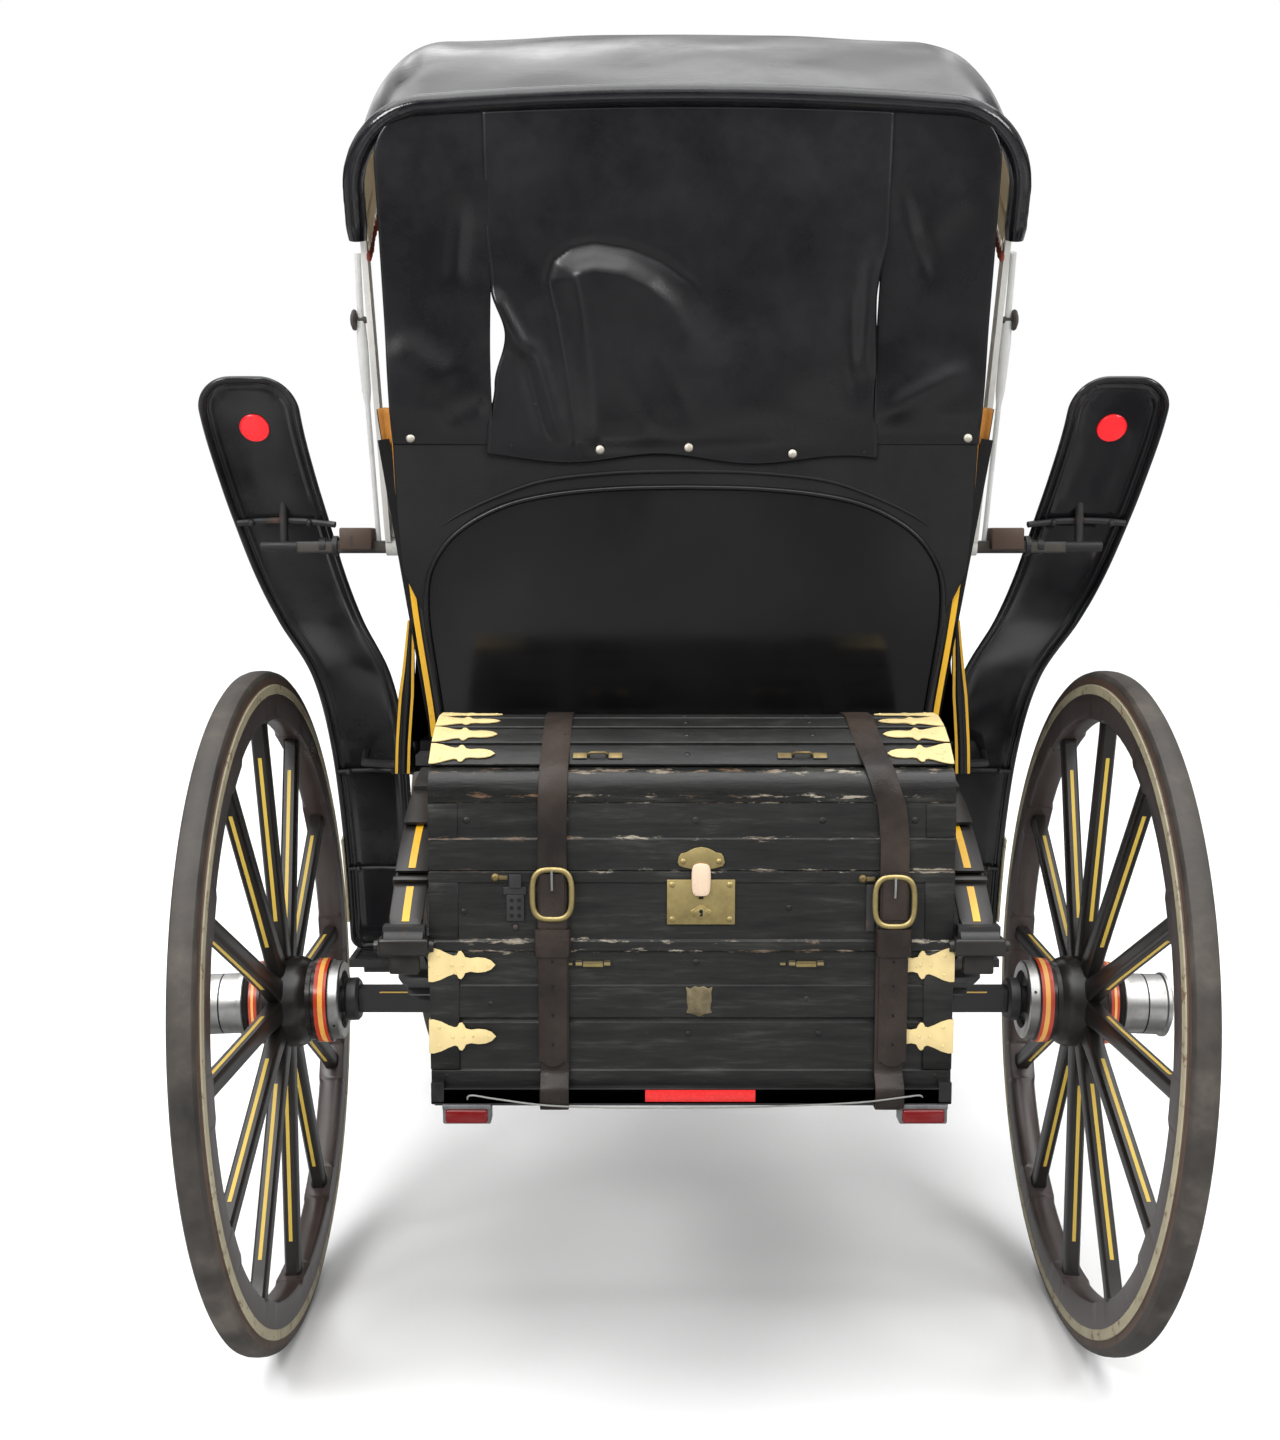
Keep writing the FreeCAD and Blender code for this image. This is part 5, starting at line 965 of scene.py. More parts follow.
tone = ramp(tree, cells, "Distance", [(0.0, (0.72, 0.012, 0.010)), (0.6, (0.52, 0.006, 0.006))])
link(tree, tone, "Color", shader, "Base Color")
link(tree, spread(tree, noise(tree, objectPoint(tree), 30), "Fac", 0.25, 0.5), "Result", shader,
     "Roughness")
bm = bmesh.new()
addSlab(bm, (-0.062, 0.086), (rack["rear"] - 0.0012, rack["rear"] + 0.001), (0.5185, 0.5345), 0, 0.0004)
newPiece("tapeStrip", bm, [tape], "root", 30)
lampGrey = metal("lampGrey", (0.34, 0.34, 0.35), 0.4, (0.2, 0.2, 0.2), 40)
bm = bmesh.new()
lensMesh = bmesh.new()
lamp = {"places": (-0.302, 0.312), "half": 0.0325, "lens": 0.0285}
for across in lamp["places"]:
    addSlab(bm, (across - lamp["half"], across + lamp["half"]),
            (rack["rear"] - 0.001, rack["rear"] + 0.026), (0.487, 0.5155), 0, 0.003, 3)
    addSlab(bm, (across - lamp["half"], across + lamp["half"]),
            (rack["rear"] - 0.004, rack["rear"] + 0.020), (0.5085, 0.5150), 0, 0.0012)
    addSlab(lensMesh, (across - lamp["lens"], across + lamp["lens"]),
            (rack["rear"] - 0.0065, rack["rear"] + 0.002), (0.4895, 0.5085), 0, 0.004, 4)
newPiece("lampCases", bm, [lampGrey], "root", 30, ["tail_lamps"])
newPiece("lampLenses", lensMesh, [lensRed], "root", 30)

# mudguards, seen from below and behind

guard = {"tip": 0.055, "foot": 0.028, "roll": 0.0062, "line": 0.0175, "thick": 0.0024, "reflector": 0.088}
# ahead, level, distance from the middle and half-width
guardRows = [(0.034, 1.523, 0.690, 0.079), (0.076, 1.449, 0.686, 0.079), (0.125, 1.378, 0.678, 0.079),
             (0.170, 1.313, 0.668, 0.079), (0.245, 1.215, 0.652, 0.077), (0.330, 1.132, 0.635, 0.075),
             (0.500, 1.017, 0.612, 0.074), (0.640, 0.859, 0.606, 0.074), (0.718, 0.648, 0.604, 0.070),
             (0.760, 0.426, 0.604, 0.067)]
guardLine = curve([Vector((across, ahead, level)) for ahead, level, across, half in guardRows], 24)
guardHalf = curve([Vector((half, 0, 0)) for ahead, level, across, half in guardRows], 24)
guardRun = [0.0]
for before, after in zip(guardLine, guardLine[1:]):
    guardRun.append(guardRun[-1] + (after - before).length)


def guardAt(run):
    # the point, half-width and outward normals at a distance from the tip
    run = max(0.0, min(run, guardRun[-1] - 1e-6))
    index = next(i for i, reached in enumerate(guardRun[1:]) if reached > run)
    share = (run - guardRun[index]) / (guardRun[index + 1] - guardRun[index])
    spot = guardLine[index].lerp(guardLine[index + 1], share)
    wide = guardHalf[index].lerp(guardHalf[index + 1], share).x
    first, last = max(index - 3, 0), min(index + 4, len(guardLine) - 1)
    along = guardLine[last] - guardLine[first]
    along = Vector((0, along.y, along.z)).normalized()
    return spot, wide, Vector((0, along.z, -along.y))


def guardPoint(side, run, x, lift):
    # lift is off the face that looks back and down
    spot, wide, off = guardAt(run)
    hollow = wide * 0.1 * (1 - (x / wide) ** 2)
    made = spot + Vector((x, 0, 0)) + off * (lift - hollow)
    return Vector((side * made.x, axleY + made.y, made.z))


def guardEdge(run, x, wide, length):
    # distance in from the rounded outline
    reach = wide - abs(x)
    for along, corner in ((run, guard["tip"]), (length - run, guard["foot"])):
        if along < corner and reach < corner:
            reach = corner - math.hypot(corner - along, corner - reach)
        else:
            reach = min(reach, along)
    return max(0.0, reach)


def pressed(edge):
    # height of the rolled edge and of the pressed line inside it
    rolled = math.sqrt(max(0.0, 1 - ((edge - 0.0045) / 0.0048) ** 2)) * guard["roll"] if edge < 0.0093 else 0
    away = abs(edge - guard["line"]) / 0.0042
    return rolled + (0.0030 * math.cos(min(1, away) * math.pi / 2) if away < 1 else 0)


def buildGuard(side, word):
    length = guardRun[-1]
    runs = [guard["tip"] * (1 - math.cos(math.pi / 2 * step / 22)) for step in range(22)]
    runs += [guard["tip"] + (length - guard["tip"] - guard["foot"]) * step / 130 for step in range(131)]
    runs += [length - guard["foot"] * (1 - math.sin(math.pi / 2 * step / 10)) for step in range(1, 11)]
    inward = [0, 0.0012, 0.0025, 0.0045, 0.0065, 0.0080, 0.0094, 0.0120, 0.0138, 0.0155, 0.0175, 0.0195,
              0.0212,
              0.024, 0.034, 0.045, 0.058]
    rows = []
    for run in runs:
        wide = guardAt(run)[1]
        shrink = 0
        for along, corner in ((run, guard["tip"]), (length - run, guard["foot"])):
            if along < corner:
                shrink = corner - math.sqrt(max(0.0, corner ** 2 - (corner - along) ** 2))
        half = wide - shrink
        share = half / wide
        across = [-half + step * share for step in inward] + [0]
        across += [half - step * share for step in reversed(inward)]
        rows.append([guardPoint(side, run, x, pressed(guardEdge(run, x, wide, length))) for x in across])
    bm = bmesh.new()
    addSkin(bm, rows)
    made = newPiece("mudguard" + word, bm, [guardPaint], "root", 60,
                    ["mudguards"] if side < 0 else ())
    addModifier(made, "SOLIDIFY", thickness=guard["thick"], offset=0)

    # reflector, and the flat irons bolted across
    bm = bmesh.new()
    off = guardAt(guard["reflector"])[2]
    turn = (Matrix.Translation(guardPoint(side, guard["reflector"], 0, 0.0005))
            @ off.to_track_quat("Z", "Y").to_matrix().to_4x4())
    profile = [(0, 0.0238), (0.0030, 0.0238), (0.0042, 0.0226), (0.0036, 0.0214), (0.0040, 0.018),
               (0.0048, 0.008), (0.0050, 0.0)]
    addSpin(bm, profile, 0, 40, turn @ Matrix.Rotation(math.radians(-90), 4, "Y"))
    newPiece("guardReflector" + word, bm, [reflectorRed], "root", 30,
             ["reflectors"] if side < 0 else ())
    bm = bmesh.new()
    for run, thick, reach in ((0.262, 0.0052, 0.012), (0.962, 0.0042, 0.010), (1.185, 0.0036, 0.03)):
        wide = guardAt(run)[1]
        line = [guardPoint(side, run, -wide - reach, 0.010)]
        line += [guardPoint(side, run, wide * x, 0.0095 - 0.002 * (1 - x * x))
                 for x in (-0.98, -0.5, 0, 0.5, 0.92)]
        addTube(bm, line, thick, 8, 0)
        for x in (-0.6, 0.62):
            addStud(bm, guardPoint(side, run, wide * x, 0.012), 0.0062, (1, 1, 1), 12, 8)
    newPiece("guardBrackets" + word, bm, [finishes["iron"]], "root", 40)
    # pale strip along the lower outer edge, beside the wheel
    bm = bmesh.new()
    rings = []
    for step in range(13):
        run = 1.115 + 0.185 * step / 12
        wide = guardAt(run)[1]
        rings.append([guardPoint(side, run, wide + x, lift) for x, lift in (
            (-0.001, -0.006), (0.003, -0.006), (0.003, 0.016), (-0.001, 0.016))])
    addRings(bm, rings, 0)
    newPiece("guardStrip" + word, bm, [paleStrip], "root", 30)


guardPaint = coachPaint("guardBlack", (0.007, 0.007, 0.008), 0.09, 0.02)
reflectorRed = coachPaint("reflectorRed", (0.80, 0.012, 0.018), 0.18, 0.0)
paleStrip = wornPaint("paleStrip", (0.30, 0.26, 0.17), (0.12, 0.10, 0.07))
for side, word in ((-1, "Left"), (1, "Right")):
    buildGuard(side, word)
print("mudguards built")

# back panel, its leather and welt

panel = {"sill": 0.956, "foot": 0.0010, "slope": 8.6, "low": 0.950, "top": 1.474}
backTurn = Matrix.Rotation(math.radians(panel["slope"]), 4, "X")
backTurn = Matrix.Translation(place(0, panel["foot"], panel["sill"])) @ backTurn
backCos = math.cos(math.radians(panel["slope"]))
panelEdge = [(0.4025, 0.950), (0.4040, 0.985), (0.4130, 1.06), (0.4235, 1.14), (0.4310, 1.222),
             (0.4360, 1.30), (0.4385, 1.39), (0.4390, 1.474)]
weltPath = [(0.3790, 0.975), (0.3850, 1.03), (0.3925, 1.09), (0.3985, 1.147), (0.3970, 1.199),
            (0.3860, 1.2345), (0.3600, 1.271), (0.3210, 1.3008), (0.2650, 1.3256), (0.1930, 1.3403),
            (0.1000, 1.3485), (0, 1.3506)]
foldPath = [(0.372, 1.292), (0.340, 1.312), (0.282, 1.338), (0.210, 1.3610), (0.100, 1.3725), (0, 1.3750)]


def smooth(low, high, value):
    share = max(0.0, min(1.0, (value - low) / (high - low)))
    return share * share * (3 - 2 * share)


def onBack(x, level, lift=0.0):
    # a point on the sloping back, lift behind its face
    return backTurn @ Vector((x, -lift, (level - panel["sill"]) / backCos))


def wholeArch(points):
    # the right half of an arch with its mirror image
    right = curve([Vector((x, 0, z)) for x, z in points], 8)
    return [Vector((-p.x, 0, p.z)) for p in right] + list(reversed(right[:-1]))


def edgeHalf(points, level):
    for (x1, z1), (x2, z2) in zip(points, points[1:]):
        if z1 <= level <= z2:
            return x1 + (x2 - x1) * (level - z1) / (z2 - z1)
    return points[-1][0] if level > points[-1][1] else points[0][0]


# board with a shallow swell, so that it reflects softly
bm = bmesh.new()
rows = []
for step in range(61):
    level = panel["low"] + (panel["top"] - panel["low"]) * step / 60
    half = edgeHalf(panelEdge, level)
    row = []
    for index in range(41):
        u = index / 20 - 1
        swell = 0.0020 * (1 - u ** 4) * math.sin(math.pi * step / 60)
        row.append(onBack(half * u, level, swell))
    rows.append(row)
addSkin(bm, rows)
board = newPiece("backBoard", bm, [finishes["black_gloss"]], "root", 60, ["back_panel"])
addModifier(board, "SOLIDIFY", thickness=0.015, offset=-1)

# matt leather over the upper part, laid down to the welt
leatherMatt = hide("backLeather", (0.0085, 0.0088, 0.0085), (0.013, 0.0135, 0.013), 0.50, 520, 9, 0.16,
                   0.22)
hoodGloss = hide("hoodGloss", (0.0030, 0.0030, 0.0038), (0.0055, 0.0055, 0.0070), 0.22, 260, 7, 0.10, 0.42)
bm = bmesh.new()
arch = wholeArch(weltPath[3:])
count = len(arch)
rows = []
for step in range(25):
    share = step / 24
    row = []
    for index, point in enumerate(arch):
        around = index / (count - 1)
        # the outer line runs up the sides and across the top
        angle = math.pi * (1 - around)
        c, s = math.cos(angle), math.sin(angle)
        reach = 1 / max(abs(c), abs(s) * 0.75, 1e-6)
        level = 1.222 + (panel["top"] - 1.221) * min(1, abs(s) * reach * 0.75 * 1.001)
        half = edgeHalf(panelEdge, level) + 0.0015
        outer = Vector((max(-half, min(half, half * c * reach)), 0, level))
        spot = point.lerp(outer, share)
        row.append(onBack(spot.x, spot.z, 0.0040 + 0.0008 * math.sin(9 * spot.x + 14 * spot.z)))
    rows.append(row)
addSkin(bm, rows)
cover = newPiece("backLeather", bm, [leatherMatt], "root", 60)
addModifier(cover, "SOLIDIFY", thickness=0.0016, offset=-1)
bm = bmesh.new()
addTube(bm, [onBack(p.x, p.z, 0.0052) for p in wholeArch(weltPath)], 0.0040, 10, 0, Vector((0, 1, 0)))
newPiece("backWelt", bm, [hoodGloss], "root", 60)
bm = bmesh.new()
fold = wholeArch(foldPath)
radii = [0.0005 + 0.0026 * math.sin(math.pi * index / (len(fold) - 1)) ** 0.5 for index in range(len(fold))]
addTube(bm, [onBack(p.x, p.z, 0.0044) for p in fold], radii, 8, 0, Vector((0, 1, 0)))
newPiece("backFold", bm, [leatherMatt], "root", 60)

# painted lines up the corners
bodyYellow = coachPaint("bodyYellow", (0.66, 0.36, 0.010), 0.2, 0.02)
bm = bmesh.new()
for side in (-1, 1):
    line = curve([Vector((edgeHalf(panelEdge, z) - 0.0085, 0, z))
                  for z in (0.962, 1.0, 1.05, 1.1, 1.16, 1.221)], 6)
    addSkin(bm, [[onBack(side * (p.x + w), p.z, 0.0012) for w in (-0.0044, 0.0044)] for p in line])
newPiece("cornerLines", bm, [bodyYellow], "root", 60)

# rear curtain

curtain = {"top": 1.874, "topAhead": -0.1318, "low": 1.410, "lowAhead": -0.0695, "thick": 0.0022}


def curtainAt(x, level, lift):
    share = (curtain["top"] - level) / (curtain["top"] - curtain["low"])
    ahead = curtain["topAhead"] + (curtain["lowAhead"] - curtain["topAhead"]) * share
    # the upper edge follows the crowned roll that it is tucked behind
    level += (0.005 + 0.014 * max(0.0, 1 - (x / 0.40) ** 2)) * smooth(1.80, curtain["top"], level)
    return place(x, ahead - lift, level)


pouch = [(-0.166, 1.420), (-0.170, 1.470), (-0.177, 1.522), (-0.190, 1.600), (-0.201, 1.649),
         (-0.193, 1.676), (-0.170, 1.692), (-0.136, 1.699), (-0.083, 1.691), (-0.038, 1.673),
         (0.008, 1.642), (0.046, 1.586), (0.085, 1.522), (0.125, 1.450)]


def pouchDepth(x, level):
    # distance inside the pouch's rim
    spot = Vector((x, level))
    best, sign = 1e9, 1
    for a, b in zip(pouch, pouch[1:]):
        a, b = Vector(a), Vector(b)
        t = max(0.0, min(1.0, (spot - a).dot(b - a) / (b - a).length_squared))
        away = spot - a.lerp(b, t)
        if away.length < best:
            best = away.length
            sign = -1 if (b - a).x * away.y - (b - a).y * away.x > 0 else 1
    return best * sign


def ridge(x, level, a, b, width, high):
    # a soft fold from a to b, fading at its ends
    a, b, spot = Vector(a), Vector(b), Vector((x, level))
    t = (spot - a).dot(b - a) / (b - a).length_squared
    near = a.lerp(b, max(0.0, min(1.0, t)))
    high *= smooth(-0.1, 0.25, t) * smooth(1.15, 0.8, t)
    return high * math.exp(-((spot - near).length / width) ** 2)


def middleLift(x, level):
    # a pouch that steps out under its rim and fades to the right, with drawn folds beside it
    inside = pouchDepth(x, level)
    rim = math.hypot((x + 0.165) / 0.150, (level - 1.665) / 0.130)
    strength = 0.0060 + 0.0170 * math.exp(-rim ** 2)
    strength *= 1 - 0.85 * smooth(-0.06, 0.12, x) * smooth(1.66, 1.50, level)
    width = 0.042 + 0.030 * smooth(-0.10, 0.08, x)
    swell = strength * smooth(0.0, width, inside)
    groove = -0.0030 * math.exp(-((inside + 0.004) / 0.006) ** 2) * smooth(0.06, -0.04, x)
    folds = ridge(x, level, (-0.289, 1.634), (-0.240, 1.545), 0.014, 0.0085)
    folds += ridge(x, level, (-0.243, 1.545), (-0.212, 1.425), 0.011, -0.0060)
    folds += ridge(x, level, (-0.226, 1.560), (-0.186, 1.420), 0.013, 0.0065)
    folds += ridge(x, level, (-0.110, 1.560), (-0.045, 1.430), 0.022, 0.0030)
    folds += ridge(x, level, (-0.060, 1.560), (0.010, 1.440), 0.020, -0.0028)
    folds += ridge(x, level, (0.272, 1.700), (0.262, 1.520), 0.016, 0.0060)
    folds += ridge(x, level, (0.235, 1.640), (0.250, 1.470), 0.018, -0.0030)
    bulge = 0.0125 * math.exp(-((x - 0.11) / 0.12) ** 2)
    bulge *= smooth(1.395, 1.475, level) * smooth(1.64, 1.50, level)
    second = 0.0040 * math.exp(-((x + 0.04) / 0.20) ** 2)
    bulge += second * smooth(1.395, 1.45, level) * smooth(1.62, 1.47, level)
    broad = 0.0030 * math.sin(4.2 * x + 3.0 * level + 0.6) + 0.0012 * math.sin(17 * x - 9 * level)
    held = smooth(1.392, 1.425, level) * 0.8 + 0.2
    return 0.0080 + (swell + groove + folds + bulge) * held + broad * smooth(1.86, 1.76, level)


def sideLift(x, level, side):
    wave = 0.0026 * math.sin(12 * (x - side * 0.3) + 7 * level) * smooth(1.84, 1.70, level)
    low = 0.0085 * smooth(1.420, 1.468, level) * smooth(1.60, 1.485, level)
    dent = 0.0
    if side > 0:
        dent += ridge(x, level, (0.300, 1.790), (0.352, 1.640), 0.016, -0.0050)
        dent += ridge(x, level, (0.292, 1.455), (0.410, 1.520), 0.016, 0.0050)
        dent += ridge(x, level, (0.330, 1.700), (0.400, 1.780), 0.030, 0.0030)
    else:
        dent += ridge(x, level, (-0.330, 1.760), (-0.345, 1.640), 0.016, -0.0035)
        dent += ridge(x, level, (-0.440, 1.560), (-0.350, 1.500), 0.030, 0.0040)
        dent += ridge(x, level, (-0.360, 1.452), (-0.300, 1.470), 0.014, -0.0045)
    held = 1 - smooth(1.435, 1.412, level) * 0.8
    return 0.0028 + (wave + dent + low + 0.002) * held


def curtainEdge(table, level):
    for (z1, x1), (z2, x2) in zip(table, table[1:]):
        if z2 <= level <= z1:
            share = (z1 - level) / (z1 - z2)
            return x1 + (x2 - x1) * share * share * (3 - 2 * share)
    return table[-1][1]


def cornered(level, cut):
    # how far the outer edge is drawn in near the top, where the roll bends round
    above = max(0.0, (level - (curtain["top"] - cut)) / cut)
    return cut * 0.95 * (1 - math.sqrt(max(0.0, 1 - above * above)))


curtainParts = {
    "Left": {"inner": [(1.874, -0.285), (1.70, -0.287), (1.55, -0.291), (1.41, -0.289)], "low": 1.4125},
    "Right": {"inner": [(1.874, 0.285), (1.70, 0.284), (1.55, 0.281), (1.41, 0.280)], "low": 1.4125},
    "Middle": {"left": [(1.874, -0.2965), (1.73, -0.2960), (1.64, -0.2890), (1.572, -0.2690),
                        (1.50, -0.2860), (1.43, -0.2985), (1.38, -0.3030)],
               "right": [(1.874, 0.2965), (1.72, 0.2940), (1.62, 0.2790), (1.52, 0.2830), (1.38, 0.2890)]},
}


def middleFoot(u):
    # level of the wavy lower edge, u from 0 on the left to 1 on the right
    return 1.3925 + 0.0065 * math.cos(u * 4.2 * math.pi + 0.4) - 0.004 * u


for word, side in (("Left", -1), ("Right", 1)):
    rows = []
    for step in range(81):
        level = curtain["top"] - (curtain["top"] - curtainParts[word]["low"]) * step / 80
        inner = curtainEdge(curtainParts[word]["inner"], level)
        outer = side * (0.4565 - 0.0145 * (step / 80) - cornered(level, 0.062))
        row = []
        for index in range(25):
            x = outer + (inner - outer) * index / 24
            row.append(curtainAt(x, level, sideLift(x, level, side)))
        rows.append(row)
    bm = bmesh.new()
    addSkin(bm, rows)
    made = newPiece("curtainSide" + word, bm, [hoodGloss], "root", 180,
                    ["rear_curtain"] if side < 0 else ())
    addModifier(made, "SOLIDIFY", thickness=curtain["thick"], offset=-1)
    addModifier(made, "SUBSURF", levels=1, render_levels=1)
rows = []
for step in range(121):
    row = []
    for index in range(101):
        u = index / 100
        low = middleFoot(u)
        level = curtain["top"] - 0.004 - (curtain["top"] - 0.004 - low) * step / 120
        left = curtainEdge(curtainParts["Middle"]["left"], level)
        right = curtainEdge(curtainParts["Middle"]["right"], level)
        x = left + (right - left) * u
        row.append(curtainAt(x, level, middleLift(x, level)))
    rows.append(row)
bm = bmesh.new()
addSkin(bm, rows)
made = newPiece("curtainMiddle", bm, [hoodGloss], "root", 180)
addModifier(made, "SOLIDIFY", thickness=curtain["thick"], offset=-1)
studPale = metal("studPale", (0.66, 0.62, 0.54), 0.45, (0.42, 0.38, 0.32), 90)
bm = bmesh.new()
for x, level, lift in ((-0.414, 1.4225, 0.0052), (-0.129, 1.4050, 0.0135), (0.004, 1.4080, 0.0135),
                       (0.160, 1.3990, 0.0135), (0.424, 1.4225, 0.0052)):
    addStud(bm, curtainAt(x, level, lift), 0.0068, (1, 0.42, 1), 20, 10)
newPiece("curtainStuds", bm, [studPale], "root", 40)
# eyelet holes drawn as flat near-black discs: painted shade
bm = bmesh.new()
for x, level in ((-0.262, 1.4120), (0.268, 1.4020)):
    addDisc(bm, curtainAt(x, level, middleLift(x, level) + 0.0028), 0.0030)
newPiece("curtainEyelets", bm, [holeShade], "root", 40)
print("back and curtain built")

# hood

hood = {"pivotAhead": 0.170, "pivot": 1.262, "corner": 0.120, "crown": 0.014, "skirt": 0.190,
        "leather": 0.005,
        "edge": 0.014, "roll": 0.016}
hoodBows = [(-23.1, 0.697, 0.491), (11.8, 0.874, 0.486), (28.7, 0.994, 0.483), (44.8, 1.074, 0.480)]


def bowPlace(lean, x, reach, step=0.0):
    angle = math.radians(lean)
    return place(x, hood["pivotAhead"] + reach * math.sin(angle) + step * math.cos(angle),
                 hood["pivot"] + reach * math.cos(angle) - step * math.sin(angle))


def skinLine(reach, half, inset=0.0, low=None):
    # (x, reach) round the hood's section, from the left lower edge to the right one
    r = hood["corner"] - inset
    wide = half - inset
    top = reach - inset
    low = reach - hood["skirt"] if low is None else low
    right = [(wide, low + (top - r - low) * step / 6) for step in range(6)]
    right += [(wide - r + r * math.cos(a), top - r + r * math.sin(a))
              for a in (math.pi / 2 * step / 12 for step in range(12))]
    flat = wide - r
    right += [(flat * (1 - step / 14), top + hood["crown"] * (1 - (1 - step / 14) ** 2))
              for step in range(15)]
    return [(-x, z) for x, z in right] + list(reversed(right[:-1]))


def hoodStations(perSpan=14):
    # (lean, reach, half, slack) from the rear edge to the front edge
    made = [(hoodBows[0][0], hoodBows[0][1], hoodBows[0][2], 0.0, -hood["edge"]), (*hoodBows[0], 0.0, 0.0)]
    for index, (a, b) in enumerate(zip(hoodBows, hoodBows[1:])):
        for step in range(1, perSpan + 1):
            t = step / perSpan
            sag = (0.020, 0.013, 0.011)[index] * 4 * t * (1 - t)
            made.append((*(low + (high - low) * t for low, high in zip(a, b)), sag, 0.0))
    last = hoodBows[-1]
    made.append((*last, 0.0, hood["edge"]))
    return made


def hoodSkin(inset, wrinkle, low=0.0):
    rows = []
    for lean, reach, half, sag, step in hoodStations():
        line = skinLine(reach + hood["leather"], half + hood["leather"], inset, reach - hood["skirt"] + low)
        count = len(line)
        row = []
        for index, (x, z) in enumerate(line):
            around = index / (count - 1)
            upper = smooth(0.12, 0.35, min(around, 1 - around))
            ripple = wrinkle * (math.sin(around * 31 + lean * 0.21)
                                + 0.6 * math.sin(around * 57 - lean * 0.33)) * (sag / 0.02)
            away = Vector((x * (0.35 if abs(x) > half * 0.8 else 0.0), z)).normalized()
            x -= away.x * (sag * 0.35) * (1 - upper)
            z -= sag * upper - ripple
            row.append(bowPlace(lean, x, z, step))
        rows.append(row)
    return rows


topGloss = hide("topGloss", (0.004, 0.004, 0.005), (0.009, 0.009, 0.011), 0.09, 260, 4, 0.14, 0.55)
bm = bmesh.new()
addSkin(bm, hoodSkin(0.0, 0.0014))
made = newPiece("hoodLeather", bm, [topGloss], "root", 180, ["hood_leather"])
addModifier(made, "SOLIDIFY", thickness=0.0032, offset=-1)
addModifier(made, "SUBSURF", levels=1, render_levels=1)
liningCloth = hide("liningCloth", (0.56, 0.48, 0.33), (0.40, 0.31, 0.18), 0.85, 900, 20, 0.12)
bm = bmesh.new()
addSkin(bm, hoodSkin(0.0165, 0.0006, -0.006))
made = newPiece("hoodLining", bm, [liningCloth], "root", 180)
addModifier(made, "SOLIDIFY", thickness=0.0018, offset=-1)

# padded roll round the rear edge, drawn in at its ends
lean, reach, half = hoodBows[0]
step = -(hood["edge"] + hood["roll"] + 0.0003)
line = [bowPlace(lean, x, z, step) for x, z in skinLine(reach, half)]
line = curve(line, 2)
radii = []
for index in range(len(line)):
    near = min(index, len(line) - 1 - index)
    pinch = 0.82 + 0.18 * min(1, near / 3)
    radii.append(hood["roll"] * pinch * (1 + 0.018 * math.sin(index * 1.7) * math.sin(index * 0.45)))
bm = bmesh.new()
addTube(bm, line, radii, 20, 0, Vector((0, 1, 0)))
made = newPiece("hoodRoll", bm, [topGloss], "root", 70, ["hood_roll"])

# binding round the front edge
bm = bmesh.new()
lean, reach, half = hoodBows[-1]
addTube(bm, [bowPlace(lean, x, z, hood["edge"]) for x, z in skinLine(reach + 0.003, half + 0.003)], 0.0045,
        8, 0, Vector((0, 1, 0)))
newPiece("hoodBinding", bm, [hoodGloss], "root", 70)

# valance: trimmed cloth, cords and tassels inside each side

trimRed = hide("trimRed", (0.19, 0.035, 0.018), (0.12, 0.02, 0.012), 0.8, 900, 60, 0.3)
cordWhite = hide("cordWhite", (0.66, 0.62, 0.54), (0.5, 0.44, 0.36), 0.8, 900, 60, 0.2)
fringe = {"drop": 0.166, "band": 0.020, "cord": 0.020, "tassel": 0.014, "space": 0.0105}
clothMesh, trimMesh, cordMesh = bmesh.new(), bmesh.new(), bmesh.new()
random.seed(4)
for side in (-1, 1):
    cloth, band = [], []
    last = None
    for index, (lean, reach, half, sag, step) in enumerate(hoodStations(28)):
        inside = side * (half - 0.0135)
        top = reach - fringe["drop"]
        scallop = 0.004 * abs(math.sin(index * 0.42))
        cloth.append([bowPlace(lean, inside, top + 0.012 - down, step) for down in (0, 0.012, 0.024)])
        low = top - 0.006 - fringe["band"] - scallop
        band.append([bowPlace(lean, inside + side * 0.0012, z, step)
                     for z in (top - 0.004, top - 0.012, low)])
        spot = bowPlace(lean, inside, low, step)
        if last is not None:
            gap = (spot - last).length
            number = max(1, round(gap / fringe["space"]))
            for k in range(number):
                head = last.lerp(spot, (k + 0.5) / number)
                sway = random.uniform(-0.002, 0.002)
                foot = head + Vector((sway * 0.5, sway, -fringe["cord"]))
                addTube(cordMesh, [head, head.lerp(foot, 0.5) + Vector((0, sway * 0.3, 0)), foot], 0.0009,
                        5, 0, Vector((0, 1, 0)))
                if k % 2 == 0:
                    end = foot - Vector((0, 0, fringe["tassel"]))
                    addTube(trimMesh, [foot + Vector((0, 0, 0.002)), foot.lerp(end, 0.35),
                                       foot.lerp(end, 0.75), end],
                            [0.0014, 0.0042, 0.0040, 0.0024], 7, 0, Vector((0, 1, 0)))
        last = spot
    addSkin(clothMesh, cloth)
    addSkin(trimMesh, band)
made = newPiece("valanceCloth", clothMesh, [liningCloth], "root", 180, ["valance"])
addModifier(made, "SOLIDIFY", thickness=0.0016, offset=0)
trim = newPiece("valanceTrim", trimMesh, [trimRed], "root", 60)
cords = newPiece("valanceCords", cordMesh, [cordWhite], "root", 60)

# landau stays with their joint bolts, and the blocks that the folded hood rests on

